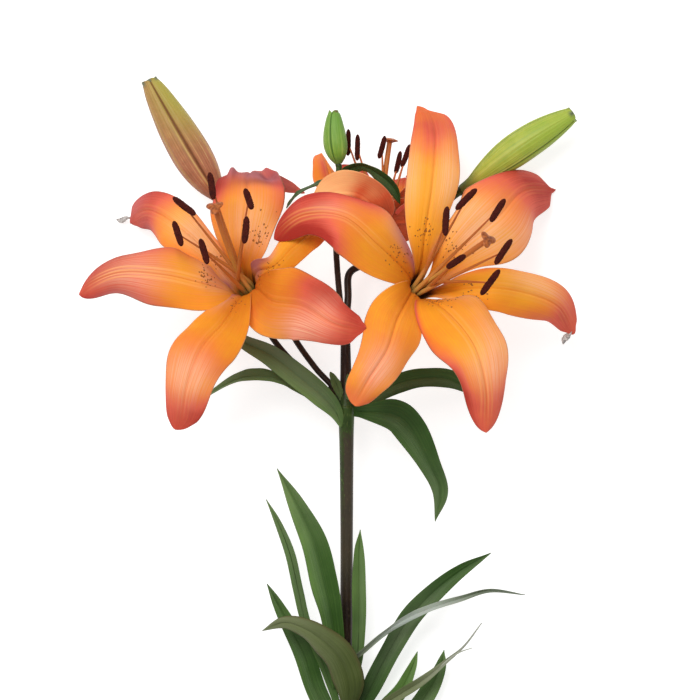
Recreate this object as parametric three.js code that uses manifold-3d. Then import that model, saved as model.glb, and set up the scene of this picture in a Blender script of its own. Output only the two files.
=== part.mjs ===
// A cut stem of an orange lily laid on its back: three open blooms, three buds, a whorl of leaves under
// the blooms and a tuft of leaves near the cut end. Millimetres, +Y along the stem, +Z up off the surface.
import * as THREE from "three";
import { mergeVertices } from "three/addons/utils/BufferGeometryUtils.js";
import Module from "manifold-3d";

const wasm = await Module();
wasm.setup();

// Driving dimensions
const STEM_RADIUS = 3.2;
const WHORL_RADIUS = 4.6;
const PEDICEL_RADIUS = 1.6;
const RECEPTACLE_RADII = [1.6, 3.4, 4.7];
const TEPAL_RING_RADIUS = 4.2;
const TEPAL_BASE_HALF = 1.8;
const THROAT_RADIUS = 9;
const THROAT_HEIGHT = 14;
const THROAT_HALF = 3.8;
const TEPAL_TIP_HALF = 0.6;
const TEPAL_TIP_START = 0.72;
const LEAF_TIP_START = 0.85;
const LEAF_TIP_HALF = 0.4;
const TEPAL_THICKNESS = 1.1;
const LEAF_THICKNESS = 1.0;
const EDGE_THINNING = 0.35;
const TIP_ROUNDNESS = 2.2;
const EDGE_WAVES = 15;
const LEAF_WAVE = 0.4;
const SEAT_GAP = 0.35;
const DISC_RADIUS = 3.1;
const DISC_HEIGHT = 2.5;
const OVARY_LENGTH = 17;
const OVARY_RADIUS = 1.5;
const STYLE_RADIUS = 0.9;
const STIGMA_RADIUS = 2.6;
const STIGMA_LENGTH = 1.5;
const FILAMENT_RADIUS = 0.7;
const FILAMENT_ROOT = { out: 1.9, up: 1.5 };
const FILAMENT_NECK = { out: 3, up: 12 };
const FILAMENT_BOW = 2;
const ANTHER_RADII = [0.7, 1.4, 1.5, 1.4, 0.7];
const ANTHER_CLEARANCE = 1.9;
const BUD_RIB_DEPTH = 0.07;
// The bud's radius along it, as a share of its largest
const BUD_SHAPE = [0.3, 0.62, 0.83, 0.95, 1, 0.99, 0.95, 0.89, 0.8, 0.69, 0.54, 0.2];

// How finely the solids are faceted
const TEPAL_ROWS = 12;
const TEPAL_COLUMNS = 6;
const LEAF_ROWS = 10;
const LEAF_COLUMNS = 4;
const STEM_SIDES = 12;
const PEDICEL_SIDES = 8;
const FILAMENT_SIDES = 5;
const BUD_SIDES = 18;
const ROW_CROWDING = 1.3;
const JOIN_TOLERANCE = 0.02;

const DEGREE = Math.PI / 180;
const ALONG_X = new THREE.Vector3(1, 0, 0);
const ALONG_Y = new THREE.Vector3(0, 1, 0);
const UP = new THREE.Vector3(0, 0, 1);

const MATERIALS = {
  tepal: { color: 0xe8833a, roughness: 0.5 },
  back_tepal: { color: 0xdf7a3c, roughness: 0.5 },
  stamen: { color: 0xc98a3a, roughness: 0.55 },
  anther: { color: 0x3a1416, roughness: 0.9 },
  stem: { color: 0x47382a, roughness: 0.55 },
  leaf: { color: 0x3b5f2b, roughness: 0.5 },
  bronze_leaf: { color: 0x6b6638, roughness: 0.55 },
  dry_leaf: { color: 0x8c8f80, roughness: 0.7 },
  blush_bud: { color: 0xa9804e, roughness: 0.5 },
  green_bud: { color: 0x8fa83a, roughness: 0.5 },
};

// The blooms. A bloom's frame stands at its receptacle, turned like the whole stem. lean is the way its
// axis leans, in degrees from +X towards +Y, and tilt is how far it leans from upright. Each tepal starts
// at an angle on the receptacle, counted from the lean, and its spine runs through [x, y, z, half width,
// twist in degrees]. curl is how far its edges rise, at the throat and on the limb, as a share of the
// half width, and wave is the edge's wave in millimetres.
const BLOOMS = {
  right: {
    base: [41, 68, 40],
    lean: 35,
    tilt: 35,
    tepals: {
      upright: {
        angle: 0,
        spine: [
          [27, 23, 13, 13.8], [45, 37, 9, 20], [60, 49.5, -10, 14.5, 10],
          [74, 53, -39.4, 12, 20],
        ],
        curl: [0.3, -0.2],
        wave: 1.2,
      },
      top: {
        angle: 60,
        spine: [
          [7.5, 31, 20, 9.5, -10], [11, 54, 20, 13.3, -15], [13.5, 77, 6, 11.5, -25],
          [7, 94, -14, 9, -40],
        ],
        curl: [0.4, -0.2],
        wave: 0.6,
      },
      left: {
        angle: 120,
        spine: [
          [-16.5, 25, 38, 15, -15], [-32.5, 38.5, 46, 13.2, 0], [-51, 38, 44, 10, -20],
          [-64, 28.5, 30, 7, -30],
        ],
        curl: [0.3, -0.32],
        wave: 0.7,
      },
      lower_left: {
        angle: 180,
        spine: [
          [-6, -14, 41, 14, 15], [-12, -28.3, 57, 12.8, 20], [-21, -41.7, 63, 9.5, 20],
          [-27.5, -52.5, 58, 8.5, 20],
        ],
        curl: [0.3, -0.25],
        wave: 0.5,
      },
      lower_right: {
        angle: -120,
        spine: [
          [17, -11, 35, 14.6, 30], [31, -25.5, 48, 16.8, 30], [35, -46, 48, 12, 30],
          [34, -67, 36, 8, 35],
        ],
        curl: [0.3, -0.25],
        wave: 0.8,
      },
      right: {
        angle: -60,
        spine: [
          [28, 3, 20, 6, 20], [50, 2, 20, 11.5, 25], [70.5, -5, 5, 10.5, 45],
          [81, -18, -14, 8, 70],
        ],
        curl: [0.3, -0.3],
        wave: 0.6,
      },
    },
  },
  left: {
    base: [-39, 67, 40],
    lean: 121,
    tilt: 35,
    tepals: {
      upper_left: {
        angle: 30,
        spine: [
          [-21, 22, 15, 8, 0], [-36, 35, 12, 12, -10], [-52, 43.5, -8, 9.5, -45],
          [-69, 39.5, -39.4, 6, -80],
        ],
        curl: [0.3, -0.25],
        wave: 0.5,
      },
      left: {
        angle: 90,
        spine: [
          [-24, 7, 28, 13, -30], [-42, 11, 34, 14.2, -35], [-64, 9, 28, 9.6, -35],
          [-84, 1, 14, 6.5, -40],
        ],
        curl: [0.3, -0.3],
        wave: 0.8,
      },
      bottom: {
        angle: 150,
        spine: [
          [-11, -14, 40, 11, -20], [-22, -27, 56, 14, -30], [-29.3, -45.5, 58, 12, -30],
          [-31.5, -62.5, 47, 14, -30],
        ],
        curl: [0.3, -0.25],
        wave: 0.5,
      },
      lower_right: {
        angle: -150,
        spine: [
          [13.5, -1.5, 38, 16, 10], [27, -5, 55, 15.8, 10], [40.5, -13.5, 61, 11, 10],
          [55, -18, 54, 10, 10],
        ],
        curl: [0.3, -0.25],
        wave: 1.2,
      },
      upper_right: {
        angle: -90,
        spine: [[11.5, 15.8, 27.5, 4.4], [21, 25, 32, 7.5], [32, 32, 25, 7], [42, 38, 13, 5]],
        curl: [0.4, -0.2],
        wave: 0.6,
      },
      top: {
        angle: -30,
        spine: [
          [-3.3, 28, 15.6, 13], [-1.5, 46, 13, 18.5], [-1, 61, 1, 15.5, 0],
          [4, 61, -10, 7, -40], [25, 53, -20, 3, -60],
        ],
        curl: [0.3, -0.15],
        wave: 1.0,
      },
    },
  },
  back: {
    base: [28.5, 90, 32],
    lean: 96,
    tilt: 78,
    tepals: {
      front: {
        angle: 165,
        spine: [
          [-6.5, 19, 20, 10, 15], [-16.5, 26, 29, 13.5, 35], [-27.5, 26, 34, 10, 75],
          [-37, 20, 34, 6, 85],
        ],
        curl: [0.2, -0.25],
        wave: 0.6,
      },
      left: {
        angle: 105,
        spine: [
          [-18, 24, 1, 7, -30], [-27, 33, -2, 9, -40], [-30.5, 42, -6, 7, -40],
          [-31, 49, -13, 5, -40],
        ],
        curl: [0.3, -0.2],
        wave: 0.5,
      },
      floor_left: {
        angle: 45,
        spine: [
          [-13, 24, -16, 7.5], [-18, 32, -22, 10], [-20, 38, -26.5, 8],
          [-21, 41, -29.5, 4],
        ],
        curl: [0.3, -0.1],
        wave: 0.5,
      },
      floor_right: {
        angle: -15,
        spine: [[5, 24, -17, 9], [9, 32, -24, 10], [10, 36, -28, 8], [11, 38, -30.5, 4]],
        curl: [0.3, -0.1],
        wave: 0.5,
      },
      right: {
        angle: -75,
        spine: [[15, 22, -3, 6], [19, 31, -6, 8, -15], [17, 36, -10, 7, -15], [11, 38, -14, 4]],
        curl: [0.3, -0.2],
        wave: 0.5,
      },
      front_right: {
        angle: -135,
        spine: [
          [10, 21, 10, 7, -20], [17, 27, 13, 8, -50], [24, 28, 12, 6, -75],
          [30, 24, 8, 3, -75],
        ],
        curl: [0.3, -0.2],
        wave: 0.5,
      },
    },
  },
};

// The stamens and style of each bloom: the angle at which the first filament leaves the axis, where each
// anther's two ends lie and where the stigma lies, from the receptacle.
const STAMENS = {
  right: {
    firstFilament: 60,
    anthers: [
      [[17.5, 42, 50], [16.5, 28, 55]],
      [[32, 51, 42], [22, 41, 48]],
      [[46, 46, 42], [39, 35, 48]],
      [[49, 26, 50], [41, 14, 54]],
      [[26, 18, 62], [17, 12, 62]],
      [[43, 11, 52], [34, -1, 56]],
    ],
    stigma: [37, 27.5, 57],
  },
  left: {
    firstFilament: -30,
    anthers: [
      [[-19, 60, 42], [-17, 47, 46]],
      [[-1.5, 52, 44], [2, 42, 50]],
      [[-0.5, 38, 54], [-1.5, 25, 58]],
      [[-23, 27, 56], [-19.5, 15, 58]],
      [[-37, 48, 38], [-26, 39.5, 44]],
      [[-36.5, 36, 44], [-32.5, 24, 48]],
    ],
    stigma: [-16, 42, 52],
  },
  back: {
    firstFilament: 90,
    anthers: [
      [[-19.5, 60, 0], [-18, 47, -2]],
      [[-14, 57, 6], [-13.5, 45, 5]],
      [[0, 57, 10], [-3, 46, 9]],
      [[12.5, 53, 4], [8.5, 42, 3]],
      [[8, 50, -3], [5.5, 39, -3]],
      [[-6, 34, -9], [-8, 24, -7]],
    ],
    stigma: [4, 54, 5],
  },
};

// The buds: the end on the pedicel, the tip, and the largest radius.
const BUDS = {
  left: { base: [-56.2, 117.3, 23], tip: [-91, 176.6, 29], radius: 9.4, colour: "blush_bud" },
  middle: { base: [4.5, 133.5, 44], tip: [1.5, 160, 46], radius: 5.7, colour: "green_bud" },
  right: { base: [67.5, 121.3, 19.5], tip: [124, 160, 26], radius: 9.4, colour: "green_bud" },
};

// The stem from its cut end to the whorl, then the axis above it that ends in the fork to the back bloom
// and the middle bud: [x, y, z, radius].
const MAIN_STEM = [
  [9, -176, 3.2, STEM_RADIUS],
  [9, -120, 9, STEM_RADIUS],
  [9.3, -60, 18, STEM_RADIUS],
  [9.2, -5, 27, 3.7],
  [9, 12, 30, WHORL_RADIUS],
];
const UPPER_STEM = [
  [9, 9, 29.5, WHORL_RADIUS],
  [9, 20, 30.3, 3.2],
  [8.8, 36, 29.6, 2.7],
  [8.6, 54, 28, 2.3],
];

// Pedicels, each from the whorl to the bloom or bud that it carries.
const PEDICELS = {
  left_bloom: [[8, 14, 30], [1, 21, 29], [-13, 32, 27], [-25, 43, 26], [-34, 56, 29]],
  left_bud: [[8, 16, 29], [2, 25, 28], [-6, 33, 26], [-20, 50, 22], [-34, 80, 19], [-47, 103, 20]],
  back_bloom: [[8.7, 50, 28.5], [9, 66, 26], [12, 79, 25], [20, 83, 25]],
  middle_bud: [[8.7, 50, 28.5], [6, 65, 28.5], [4, 90, 31], [4, 107, 41], [4.4, 120, 43.5]],
  right_bloom: [[10, 15, 30], [19, 33, 27], [29, 50, 25], [37, 60, 30]],
  right_bud: [[10, 15, 28], [24, 40, 21], [38, 68, 15], [50, 98, 14.5], [60, 114, 16.5]],
};

// The stem's own bracts at the whorl, grown on it, given as leaves are.
const WHORL_BRACTS = [
  [[7, 15, 32, 1.2], [4, 23, 34, 2.4], [1, 29, 36, 0.8]],
  [[10, 15, 33, 1.2], [10.5, 22, 36, 2], [10, 28, 38, 0.8]],
];

// Leaves: the spine through [x, y, z, half width, twist in degrees], from the stem to the tip.
const LEAVES = {
  whorl_left: {
    spine: [
      [4.2, 9, 33.5, 3], [-3, 17, 38, 5.5], [-14, 26, 40, 6],
      [-28, 37, 40, 5.5], [-42, 44, 38, 3.5], [-53, 53, 34, 1],
    ],
    curl: 0.3,
  },
  whorl_far_left: {
    spine: [
      [4.1, 12, 27.8, 2.2], [-15, 21, 29.5, 5, 45], [-24, 26, 32, 5, 45],
      [-36, 28, 32, 5, 45], [-48, 25, 28, 4, 45], [-66, 14, 20, 1, 45],
    ],
    curl: 0.3,
  },
  whorl_right: {
    spine: [
      [14.3, 12, 30, 2.2], [23.5, 17, 32, 4], [35, 23, 33, 4.8],
      [48, 26, 32, 4.8], [62, 25, 28, 4.5], [77, 16, 20, 1],
    ],
    curl: 0.3,
  },
  whorl_lower_right: {
    spine: [
      [13, 9, 33, 2.5], [19.5, 9, 38, 4], [33, 6.5, 44, 8],
      [42, -0.5, 44, 8.5], [51, -16, 38, 6], [56, -31, 30, 4],
      [53, -48, 22, 1],
    ],
    curl: 0.25,
  },
  bract_right: {
    spine: [
      [7, 127.5, 44.5, 1], [11, 131, 48, 3, 40], [18, 132, 51, 3.5, 50],
      [27, 126.5, 53, 3.5, 40], [34, 120, 53, 3.5, 30], [37, 111, 51, 0.8, 20],
    ],
    curl: 0.2,
  },
  bract_left: {
    spine: [
      [2.5, 125, 44.5, 1, 40], [-4, 123.5, 45, 3, 70], [-11.5, 120.5, 44, 3, 75],
      [-17.5, 116.5, 41, 2.5, 75], [-21, 111.5, 36, 0.8, 75],
    ],
    curl: 0.2,
  },
  tall_left: {
    spine: [
      [4.6, -132, 12.8, 2.6], [4, -114, 19.5, 4.5], [1.5, -94, 23.5, 5],
      [-2, -77, 27, 6.2], [-7, -57, 28, 5.6], [-15, -39, 28, 3.6],
      [-25.5, -21, 26, 0.8],
    ],
    curl: 0.3,
  },
  thin_left: {
    spine: [
      [4.6, -141, 9.6, 1.8], [-3, -120, 13.2, 2.5], [-12, -99, 15, 2.5],
      [-16, -82, 16, 2.6], [-20, -64, 17, 2.6], [-25.5, -49, 17, 1.8],
      [-31.5, -36.5, 16, 0.5],
    ],
    curl: 0.3,
  },
  low_left: {
    spine: [
      [3.8, -159, 5.2, 1.8], [-1, -145, 4.8, 4.8], [-7, -132, 6.2, 5.2],
      [-12.5, -115, 9, 5], [-19, -101, 11.5, 4.5], [-25, -89, 13, 3.2],
      [-31, -79, 14, 0.8],
    ],
    curl: 0.3,
  },
  bronze_front: {
    spine: [
      [10.5, -142, 10.7, 3.6], [10.5, -129, 19, 8], [6, -116.5, 26, 8.3],
      [-2, -107.5, 30, 7.5], [-11.5, -101, 30, 5.5], [-22.5, -98, 26, 3.2],
      [-33.5, -102.5, 19, 0.8],
    ],
    curl: -0.2,
  },
  slim_right: {
    spine: [
      [13.3, -128, 10.6, 1.6], [15.6, -114, 14, 2.6], [16.5, -96, 17, 3],
      [16.5, -76, 21, 3], [16.3, -62, 23, 2.2], [16.5, -52, 25, 0.5],
    ],
    curl: 0.3,
  },
  broad_right: {
    spine: [
      [14.4, -147, 6.2, 2], [22, -132, 9, 4.8], [32, -112, 13, 5],
      [42, -96, 16, 5], [54, -83.5, 18, 4.6], [68, -72.5, 20, 3.2],
      [82.5, -63, 20, 0.8],
    ],
    curl: 0.3,
  },
  dry_right: {
    spine: [
      [10.5, -119, 13.5, 1], [17, -113.5, 19, 1.5], [27, -104, 26, 1.6],
      [39, -96, 29, 2.2], [51.5, -89.5, 30, 2], [67, -84, 28, 1.6],
      [82, -81, 24, 1.1], [100, -84.5, 16, 0.5],
    ],
    curl: 0.5,
  },
  short_right: {
    spine: [
      [13.6, -154, 5, 2], [22, -150.5, 5.4, 4.2], [31, -141, 7, 4.4],
      [38, -132, 8, 3.6], [42, -124, 9, 2.4], [44.5, -116.5, 10, 0.6],
    ],
    curl: 0.3,
  },
  outer_right: {
    spine: [
      [13.5, -164, 4.6, 2.2], [28, -157, 5.4, 4.5], [42, -146, 6.5, 4.8],
      [52, -133, 7.5, 4.5], [57, -122, 9, 3], [59, -113, 10, 0.6],
    ],
    curl: 0.3,
  },
  withered_right: {
    spine: [
      [12.6, -148, 8.2, 1.6], [25, -142, 14, 2.4], [38, -134, 17, 2.6],
      [49, -127, 18, 2.2], [60, -118, 18, 1.1], [69, -110.5, 17, 0.5],
      [78, -99, 14, 0.4],
    ],
    curl: 0.5,
  },
};
const LEAF_COLOURS = { bronze_front: "bronze_leaf", dry_right: "dry_leaf", withered_right: "dry_leaf" };

const vector = ([x, y, z]) => new THREE.Vector3(x, y, z);

function materialFor(slot) {
  return new THREE.MeshStandardMaterial({ ...MATERIALS[slot], metalness: 0 });
}

// A closed solid through rings of points, each with the same even number. On a blade the second half of
// a ring is its underside, and it is split along the same diagonals as the upper face.
function loft(rings, isBlade = false) {
  const count = rings[0].length;
  const last = (rings.length - 1) * count;
  const faces = [];
  const quad = (a, b, c, d) => faces.push(a, b, c, a, c, d);
  for (let i = 0; i + 1 < rings.length; i++) {
    for (let j = 0; j < count; j++) {
      const next = (j + 1) % count;
      const corners = [i * count + j, i * count + next, (i + 1) * count + next, (i + 1) * count + j];
      if (isBlade && j >= count / 2) corners.push(corners.shift());
      quad(...corners);
    }
  }
  for (let j = 0; j + 1 < count / 2; j++) {
    quad(count - 1 - j, count - 2 - j, j + 1, j);
    quad(last + j, last + j + 1, last + count - 2 - j, last + count - 1 - j);
  }
  const geometry = new THREE.BufferGeometry();
  const positions = rings.flat().flatMap((p) => [p.x, p.y, p.z]);
  geometry.setAttribute("position", new THREE.Float32BufferAttribute(positions, 3));
  geometry.setIndex(facingOut(positions, faces));
  return geometry;
}

// The faces, turned over if they enclose a negative volume.
function facingOut(positions, faces) {
  const corner = (i) => new THREE.Vector3().fromArray(positions, 3 * i);
  let volume = 0;
  for (let i = 0; i < faces.length; i += 3) {
    volume += corner(faces[i]).dot(corner(faces[i + 1]).cross(corner(faces[i + 2])));
  }
  return volume > 0 ? faces : faces.slice().reverse();
}

// Points, tangents and side vectors along a spine, closer together towards its end and carried forward
// without spin. The side vector starts square to the way the blade faces.
function framesAlong(points, rows, facing) {
  const curve = new THREE.CatmullRomCurve3(points, false, "catmullrom");
  const frames = [];
  for (let i = 0; i <= rows; i++) {
    const along = 1 - (1 - i / rows) ** ROW_CROWDING;
    const point = curve.getPoint(along);
    const tangent = curve.getTangent(along);
    const before = frames[i - 1];
    let side;
    if (before) {
      const step = point.clone().sub(before.point);
      const sideOver = reflected(before.side, step);
      const tangentOver = reflected(before.tangent, step);
      side = reflected(sideOver, tangent.clone().sub(tangentOver));
    } else {
      side = new THREE.Vector3().crossVectors(facing, tangent).normalize();
    }
    frames.push({ point, tangent, side, along });
  }
  return frames;
}

function reflected(v, normal) {
  const size = normal.lengthSq();
  return size < 1e-12 ? v.clone() : v.clone().addScaledVector(normal, (-2 * v.dot(normal)) / size);
}

// A thin curved blade. curlAt gives how far the edges rise at a place along it, as a share of the half
// width there, and wave is the depth of the wave along its edges.
function blade({ stations, facing, rows, columns, thickness, tipHalf, tipStart, curlAt, wave }) {
  const spine = stations.map(vector);
  const widths = stations.map(([, , , half, twist = 0]) => new THREE.Vector3(half, twist, 0));
  const widthCurve = new THREE.CatmullRomCurve3(widths, false, "catmullrom");
  const rings = framesAlong(spine, rows, facing).map(({ point, tangent, side, along }) => {
    const { x: width, y: twist } = widthCurve.getPoint(along);
    const closing = Math.max(0, (along - tipStart) / (1 - tipStart));
    const half = Math.max(width * Math.sqrt(1 - closing ** TIP_ROUNDNESS), tipHalf);
    const across = side.clone().applyAxisAngle(tangent, twist * DEGREE);
    const normal = new THREE.Vector3().crossVectors(tangent, across);
    const upper = [];
    const lower = [];
    for (let j = 0; j <= columns; j++) {
      const s = (2 * j) / columns - 1;
      const swing = Math.sin(Math.PI * along) * Math.sin(EDGE_WAVES * along + 2 * s);
      const ripple = wave * Math.abs(s) ** 3 * swing;
      const rise = curlAt(along) * half * s * s + ripple;
      const middle = point.clone().addScaledVector(across, s * half).addScaledVector(normal, rise);
      const depth = (thickness * (1 - EDGE_THINNING * Math.abs(s))) / 2;
      upper.push(middle.clone().addScaledVector(normal, depth));
      lower.push(middle.clone().addScaledVector(normal, -depth));
    }
    return [...upper, ...lower.reverse()];
  });
  return loft(rings, true);
}

// A round rod through points, with a radius at each, tapering evenly between them.
function rod(points, radii, sides, rows) {
  const radiusPoints = radii.map((r) => new THREE.Vector3(r, 0, 0));
  const radiusCurve = new THREE.CatmullRomCurve3(radiusPoints, false, "catmullrom");
  const first = points[1].clone().sub(points[0]);
  const facing = Math.abs(first.x) < Math.abs(first.y) ? ALONG_X : ALONG_Y;
  const rings = framesAlong(points, rows, facing).map(({ point, tangent, side, along }) => {
    const radius = radiusCurve.getPoint(along).x;
    const other = new THREE.Vector3().crossVectors(tangent, side);
    return Array.from({ length: sides }, (_, k) => {
      const turn = ((k + 0.5) * 2 * Math.PI) / sides;
      return point
        .clone()
        .addScaledVector(side, radius * Math.cos(turn))
        .addScaledVector(other, radius * Math.sin(turn));
    });
  });
  return loft(rings);
}

function solidOf(geometry) {
  const bare = geometry.clone();
  bare.deleteAttribute("normal");
  bare.deleteAttribute("uv");
  const merged = mergeVertices(bare);
  return new wasm.Manifold(
    new wasm.Mesh({
      numProp: 3,
      vertProperties: merged.getAttribute("position").array,
      triVerts: new Uint32Array(merged.getIndex().array),
    }),
  );
}

// Several overlapping geometries joined into one closed body.
function joined(geometries) {
  const whole = geometries.map(solidOf).reduce((a, b) => a.add(b));
  const mesh = whole.simplify(JOIN_TOLERANCE).getMesh();
  const geometry = new THREE.BufferGeometry();
  geometry.setAttribute("position", new THREE.Float32BufferAttribute(mesh.vertProperties, 3));
  geometry.setIndex(Array.from(mesh.triVerts));
  return geometry;
}

function named(name, geometry, slot) {
  const mesh = new THREE.Mesh(geometry, materialFor(slot));
  mesh.name = name;
  return mesh;
}

// A bloom's axis, the way it leans across that axis, and the third direction.
function bloomFrame({ lean, tilt }) {
  const heading = new THREE.Vector3(Math.cos(lean * DEGREE), Math.sin(lean * DEGREE), 0);
  const [sine, cosine] = [Math.sin(tilt * DEGREE), Math.cos(tilt * DEGREE)];
  const axis = heading.clone().multiplyScalar(sine).addScaledVector(UP, cosine);
  const leaning = heading.clone().multiplyScalar(cosine).addScaledVector(UP, -sine);
  return { axis, leaning, across: new THREE.Vector3().crossVectors(axis, leaning) };
}

// The way out from a bloom's axis at an angle round it, counted from the way it leans.
function radialAt({ leaning, across }, angle) {
  return leaning
    .clone()
    .multiplyScalar(Math.cos(angle * DEGREE))
    .addScaledVector(across, Math.sin(angle * DEGREE));
}

// A point at a distance out from a bloom's axis and a height along it.
function outAndUp(radial, axis, { out, up }) {
  return radial.clone().multiplyScalar(out).addScaledVector(axis, up);
}

const smooth = (x) => {
  const t = Math.min(1, Math.max(0, x));
  return t * t * (3 - 2 * t);
};

function tepalGeometry(bloom, { angle, spine, curl, wave }) {
  const frame = bloomFrame(bloom);
  const radial = radialAt(frame, angle);
  const root = outAndUp(radial, frame.axis, { out: TEPAL_RING_RADIUS, up: SEAT_GAP });
  const throat = outAndUp(radial, frame.axis, { out: THROAT_RADIUS, up: THROAT_HEIGHT });
  return blade({
    stations: [[...root.toArray(), TEPAL_BASE_HALF], [...throat.toArray(), THROAT_HALF], ...spine],
    facing: radial.clone().negate(),
    rows: TEPAL_ROWS,
    columns: TEPAL_COLUMNS,
    thickness: TEPAL_THICKNESS,
    tipHalf: TEPAL_TIP_HALF,
    tipStart: TEPAL_TIP_START,
    curlAt: (t) => THREE.MathUtils.lerp(curl[0], curl[1], smooth((t - 0.15) / 0.4)),
    wave,
  });
}

// The ovary and style, and the six filaments, joined on one small disc.
function pistilAndFilaments(bloom, { anthers, stigma, firstFilament }) {
  const frame = bloomFrame(bloom);
  const upAxis = (distance) => frame.axis.clone().multiplyScalar(distance);
  const neck = upAxis(OVARY_LENGTH);
  const end = vector(stigma);
  const bend = neck.clone().lerp(end, 0.5).addScaledVector(frame.axis, FILAMENT_BOW);
  const head = end.clone().addScaledVector(end.clone().sub(bend).normalize(), STIGMA_LENGTH);
  const disc = [upAxis(SEAT_GAP), upAxis(SEAT_GAP + DISC_HEIGHT)];
  const ovary = [upAxis(SEAT_GAP * 3), upAxis(OVARY_LENGTH / 2), neck];
  const parts = [
    rod(disc, [DISC_RADIUS, DISC_RADIUS - 0.5], 12, 2),
    rod(ovary, [OVARY_RADIUS, OVARY_RADIUS, STYLE_RADIUS], 8, 5),
    rod([upAxis(OVARY_LENGTH - 1.2), bend, end], [STYLE_RADIUS, STYLE_RADIUS, STYLE_RADIUS], 6, 6),
    rod([end.clone().lerp(bend, 0.05), head], [STYLE_RADIUS, STIGMA_RADIUS], 9, 2),
  ];
  anthers.forEach((ends, k) => parts.push(filament(frame, ends, 60 * k + firstFilament)));
  return joined(parts);
}

// A filament leaves the bundle round the ovary and stops just short of its anther.
function filament(frame, ends, angle) {
  const [top, bottom] = ends.map(vector);
  const middle = top.clone().lerp(bottom, 0.5);
  const radial = radialAt(frame, angle);
  const root = outAndUp(radial, frame.axis, FILAMENT_ROOT);
  const neck = outAndUp(radial, frame.axis, FILAMENT_NECK);
  const reach = middle.clone().sub(neck).normalize();
  const pod = top.clone().sub(bottom);
  const along = Math.abs(pod.clone().normalize().dot(reach));
  const pastSide = ANTHER_CLEARANCE / Math.sqrt(1 - along * along);
  const pastEnd = pod.length() / 2 / along;
  const end = middle.clone().addScaledVector(reach, -Math.min(pastSide, pastEnd) - SEAT_GAP);
  const bend = neck.clone().lerp(end, 0.5).addScaledVector(frame.axis, FILAMENT_BOW);
  const radii = [FILAMENT_RADIUS, FILAMENT_RADIUS, FILAMENT_RADIUS, FILAMENT_RADIUS * 0.8];
  return rod([root, neck, bend, end], radii, FILAMENT_SIDES, 6);
}

// A plump pod with blunt ends.
function antherGeometry([top, bottom]) {
  const [a, b] = [vector(top), vector(bottom)];
  const middle = a.clone().lerp(b, 0.5);
  const points = [a, a.clone().lerp(middle, 0.3), middle, b.clone().lerp(middle, 0.3), b];
  return rod(points, ANTHER_RADII, 6, 5);
}

// A bud of three outer tepals that meet along grooves.
function budGeometry({ base, tip, radius }) {
  const [a, b] = [vector(base), vector(tip)];
  const along = b.clone().sub(a).normalize();
  const start = a.clone().addScaledVector(along, SEAT_GAP);
  const side = new THREE.Vector3().crossVectors(UP, along).normalize();
  const other = new THREE.Vector3().crossVectors(along, side);
  const rings = BUD_SHAPE.map((share, i) => {
    const centre = start.clone().lerp(b, i / (BUD_SHAPE.length - 1));
    return Array.from({ length: BUD_SIDES }, (_, k) => {
      const turn = (k * 2 * Math.PI) / BUD_SIDES;
      const rib = 1 - BUD_RIB_DEPTH + 2 * BUD_RIB_DEPTH * Math.abs(Math.cos(1.5 * turn));
      const r = radius * share * rib;
      return centre
        .clone()
        .addScaledVector(side, r * Math.cos(turn))
        .addScaledVector(other, r * Math.sin(turn));
    });
  });
  return loft(rings);
}

// The stem from its cut end to the whorl, with the pedicels and each bloom's receptacle grown on it.
function stemGeometry() {
  const parts = [
    rod(MAIN_STEM.map(vector), MAIN_STEM.map(([, , , radius]) => radius), STEM_SIDES, 9),
    rod(UPPER_STEM.map(vector), UPPER_STEM.map(([, , , radius]) => radius), STEM_SIDES - 2, 6),
  ];
  WHORL_BRACTS.forEach((spine) => parts.push(leafGeometry({ spine, curl: 0.3 })));
  for (const [side, bloom] of Object.entries(BLOOMS)) {
    const base = vector(bloom.base);
    const { axis } = bloomFrame(bloom);
    const below = (distance) => base.clone().addScaledVector(axis, -distance);
    const path = [...PEDICELS[`${side}_bloom`].map(vector), below(3)];
    parts.push(rod(path, path.map(() => PEDICEL_RADIUS), PEDICEL_SIDES, 9));
    parts.push(rod([below(6), below(2.5), base], RECEPTACLE_RADII, 12, 4));
  }
  for (const [side, bud] of Object.entries(BUDS)) {
    const base = vector(bud.base);
    const along = vector(bud.tip).sub(base).normalize();
    const path = [...PEDICELS[`${side}_bud`].map(vector), base.clone().addScaledVector(along, -3), base];
    const radii = path.map(() => PEDICEL_RADIUS);
    radii[radii.length - 1] = bud.radius * BUD_SHAPE[0];
    parts.push(rod(path, radii, PEDICEL_SIDES, 10));
  }
  return joined(parts);
}

function leafGeometry({ spine, curl }) {
  return blade({
    stations: spine,
    facing: UP,
    rows: LEAF_ROWS,
    columns: LEAF_COLUMNS,
    thickness: LEAF_THICKNESS,
    tipHalf: LEAF_TIP_HALF,
    tipStart: LEAF_TIP_START,
    curlAt: () => curl,
    wave: LEAF_WAVE,
  });
}

function buildLily() {
  const lily = new THREE.Group();
  lily.add(named("stem", stemGeometry(), "stem"));
  for (const [side, bloom] of Object.entries(BLOOMS)) {
    const group = new THREE.Group();
    group.position.set(...bloom.base);
    const colour = side === "back" ? "back_tepal" : "tepal";
    for (const [place, tepal] of Object.entries(bloom.tepals)) {
      group.add(named(`${side}_bloom_tepal_${place}`, tepalGeometry(bloom, tepal), colour));
    }
    const stamens = STAMENS[side];
    group.add(named(`${side}_bloom_pistil_and_filaments`, pistilAndFilaments(bloom, stamens), "stamen"));
    stamens.anthers.forEach((ends, k) => {
      group.add(named(`${side}_bloom_anther_${k + 1}`, antherGeometry(ends), "anther"));
    });
    lily.add(group);
  }
  for (const [side, bud] of Object.entries(BUDS)) {
    lily.add(named(`${side}_bud`, budGeometry(bud), bud.colour));
  }
  for (const [place, leaf] of Object.entries(LEAVES)) {
    lily.add(named(`leaf_${place}`, leafGeometry(leaf), LEAF_COLOURS[place] ?? "leaf"));
  }
  return lily;
}

export default buildLily();
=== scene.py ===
import math

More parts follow.
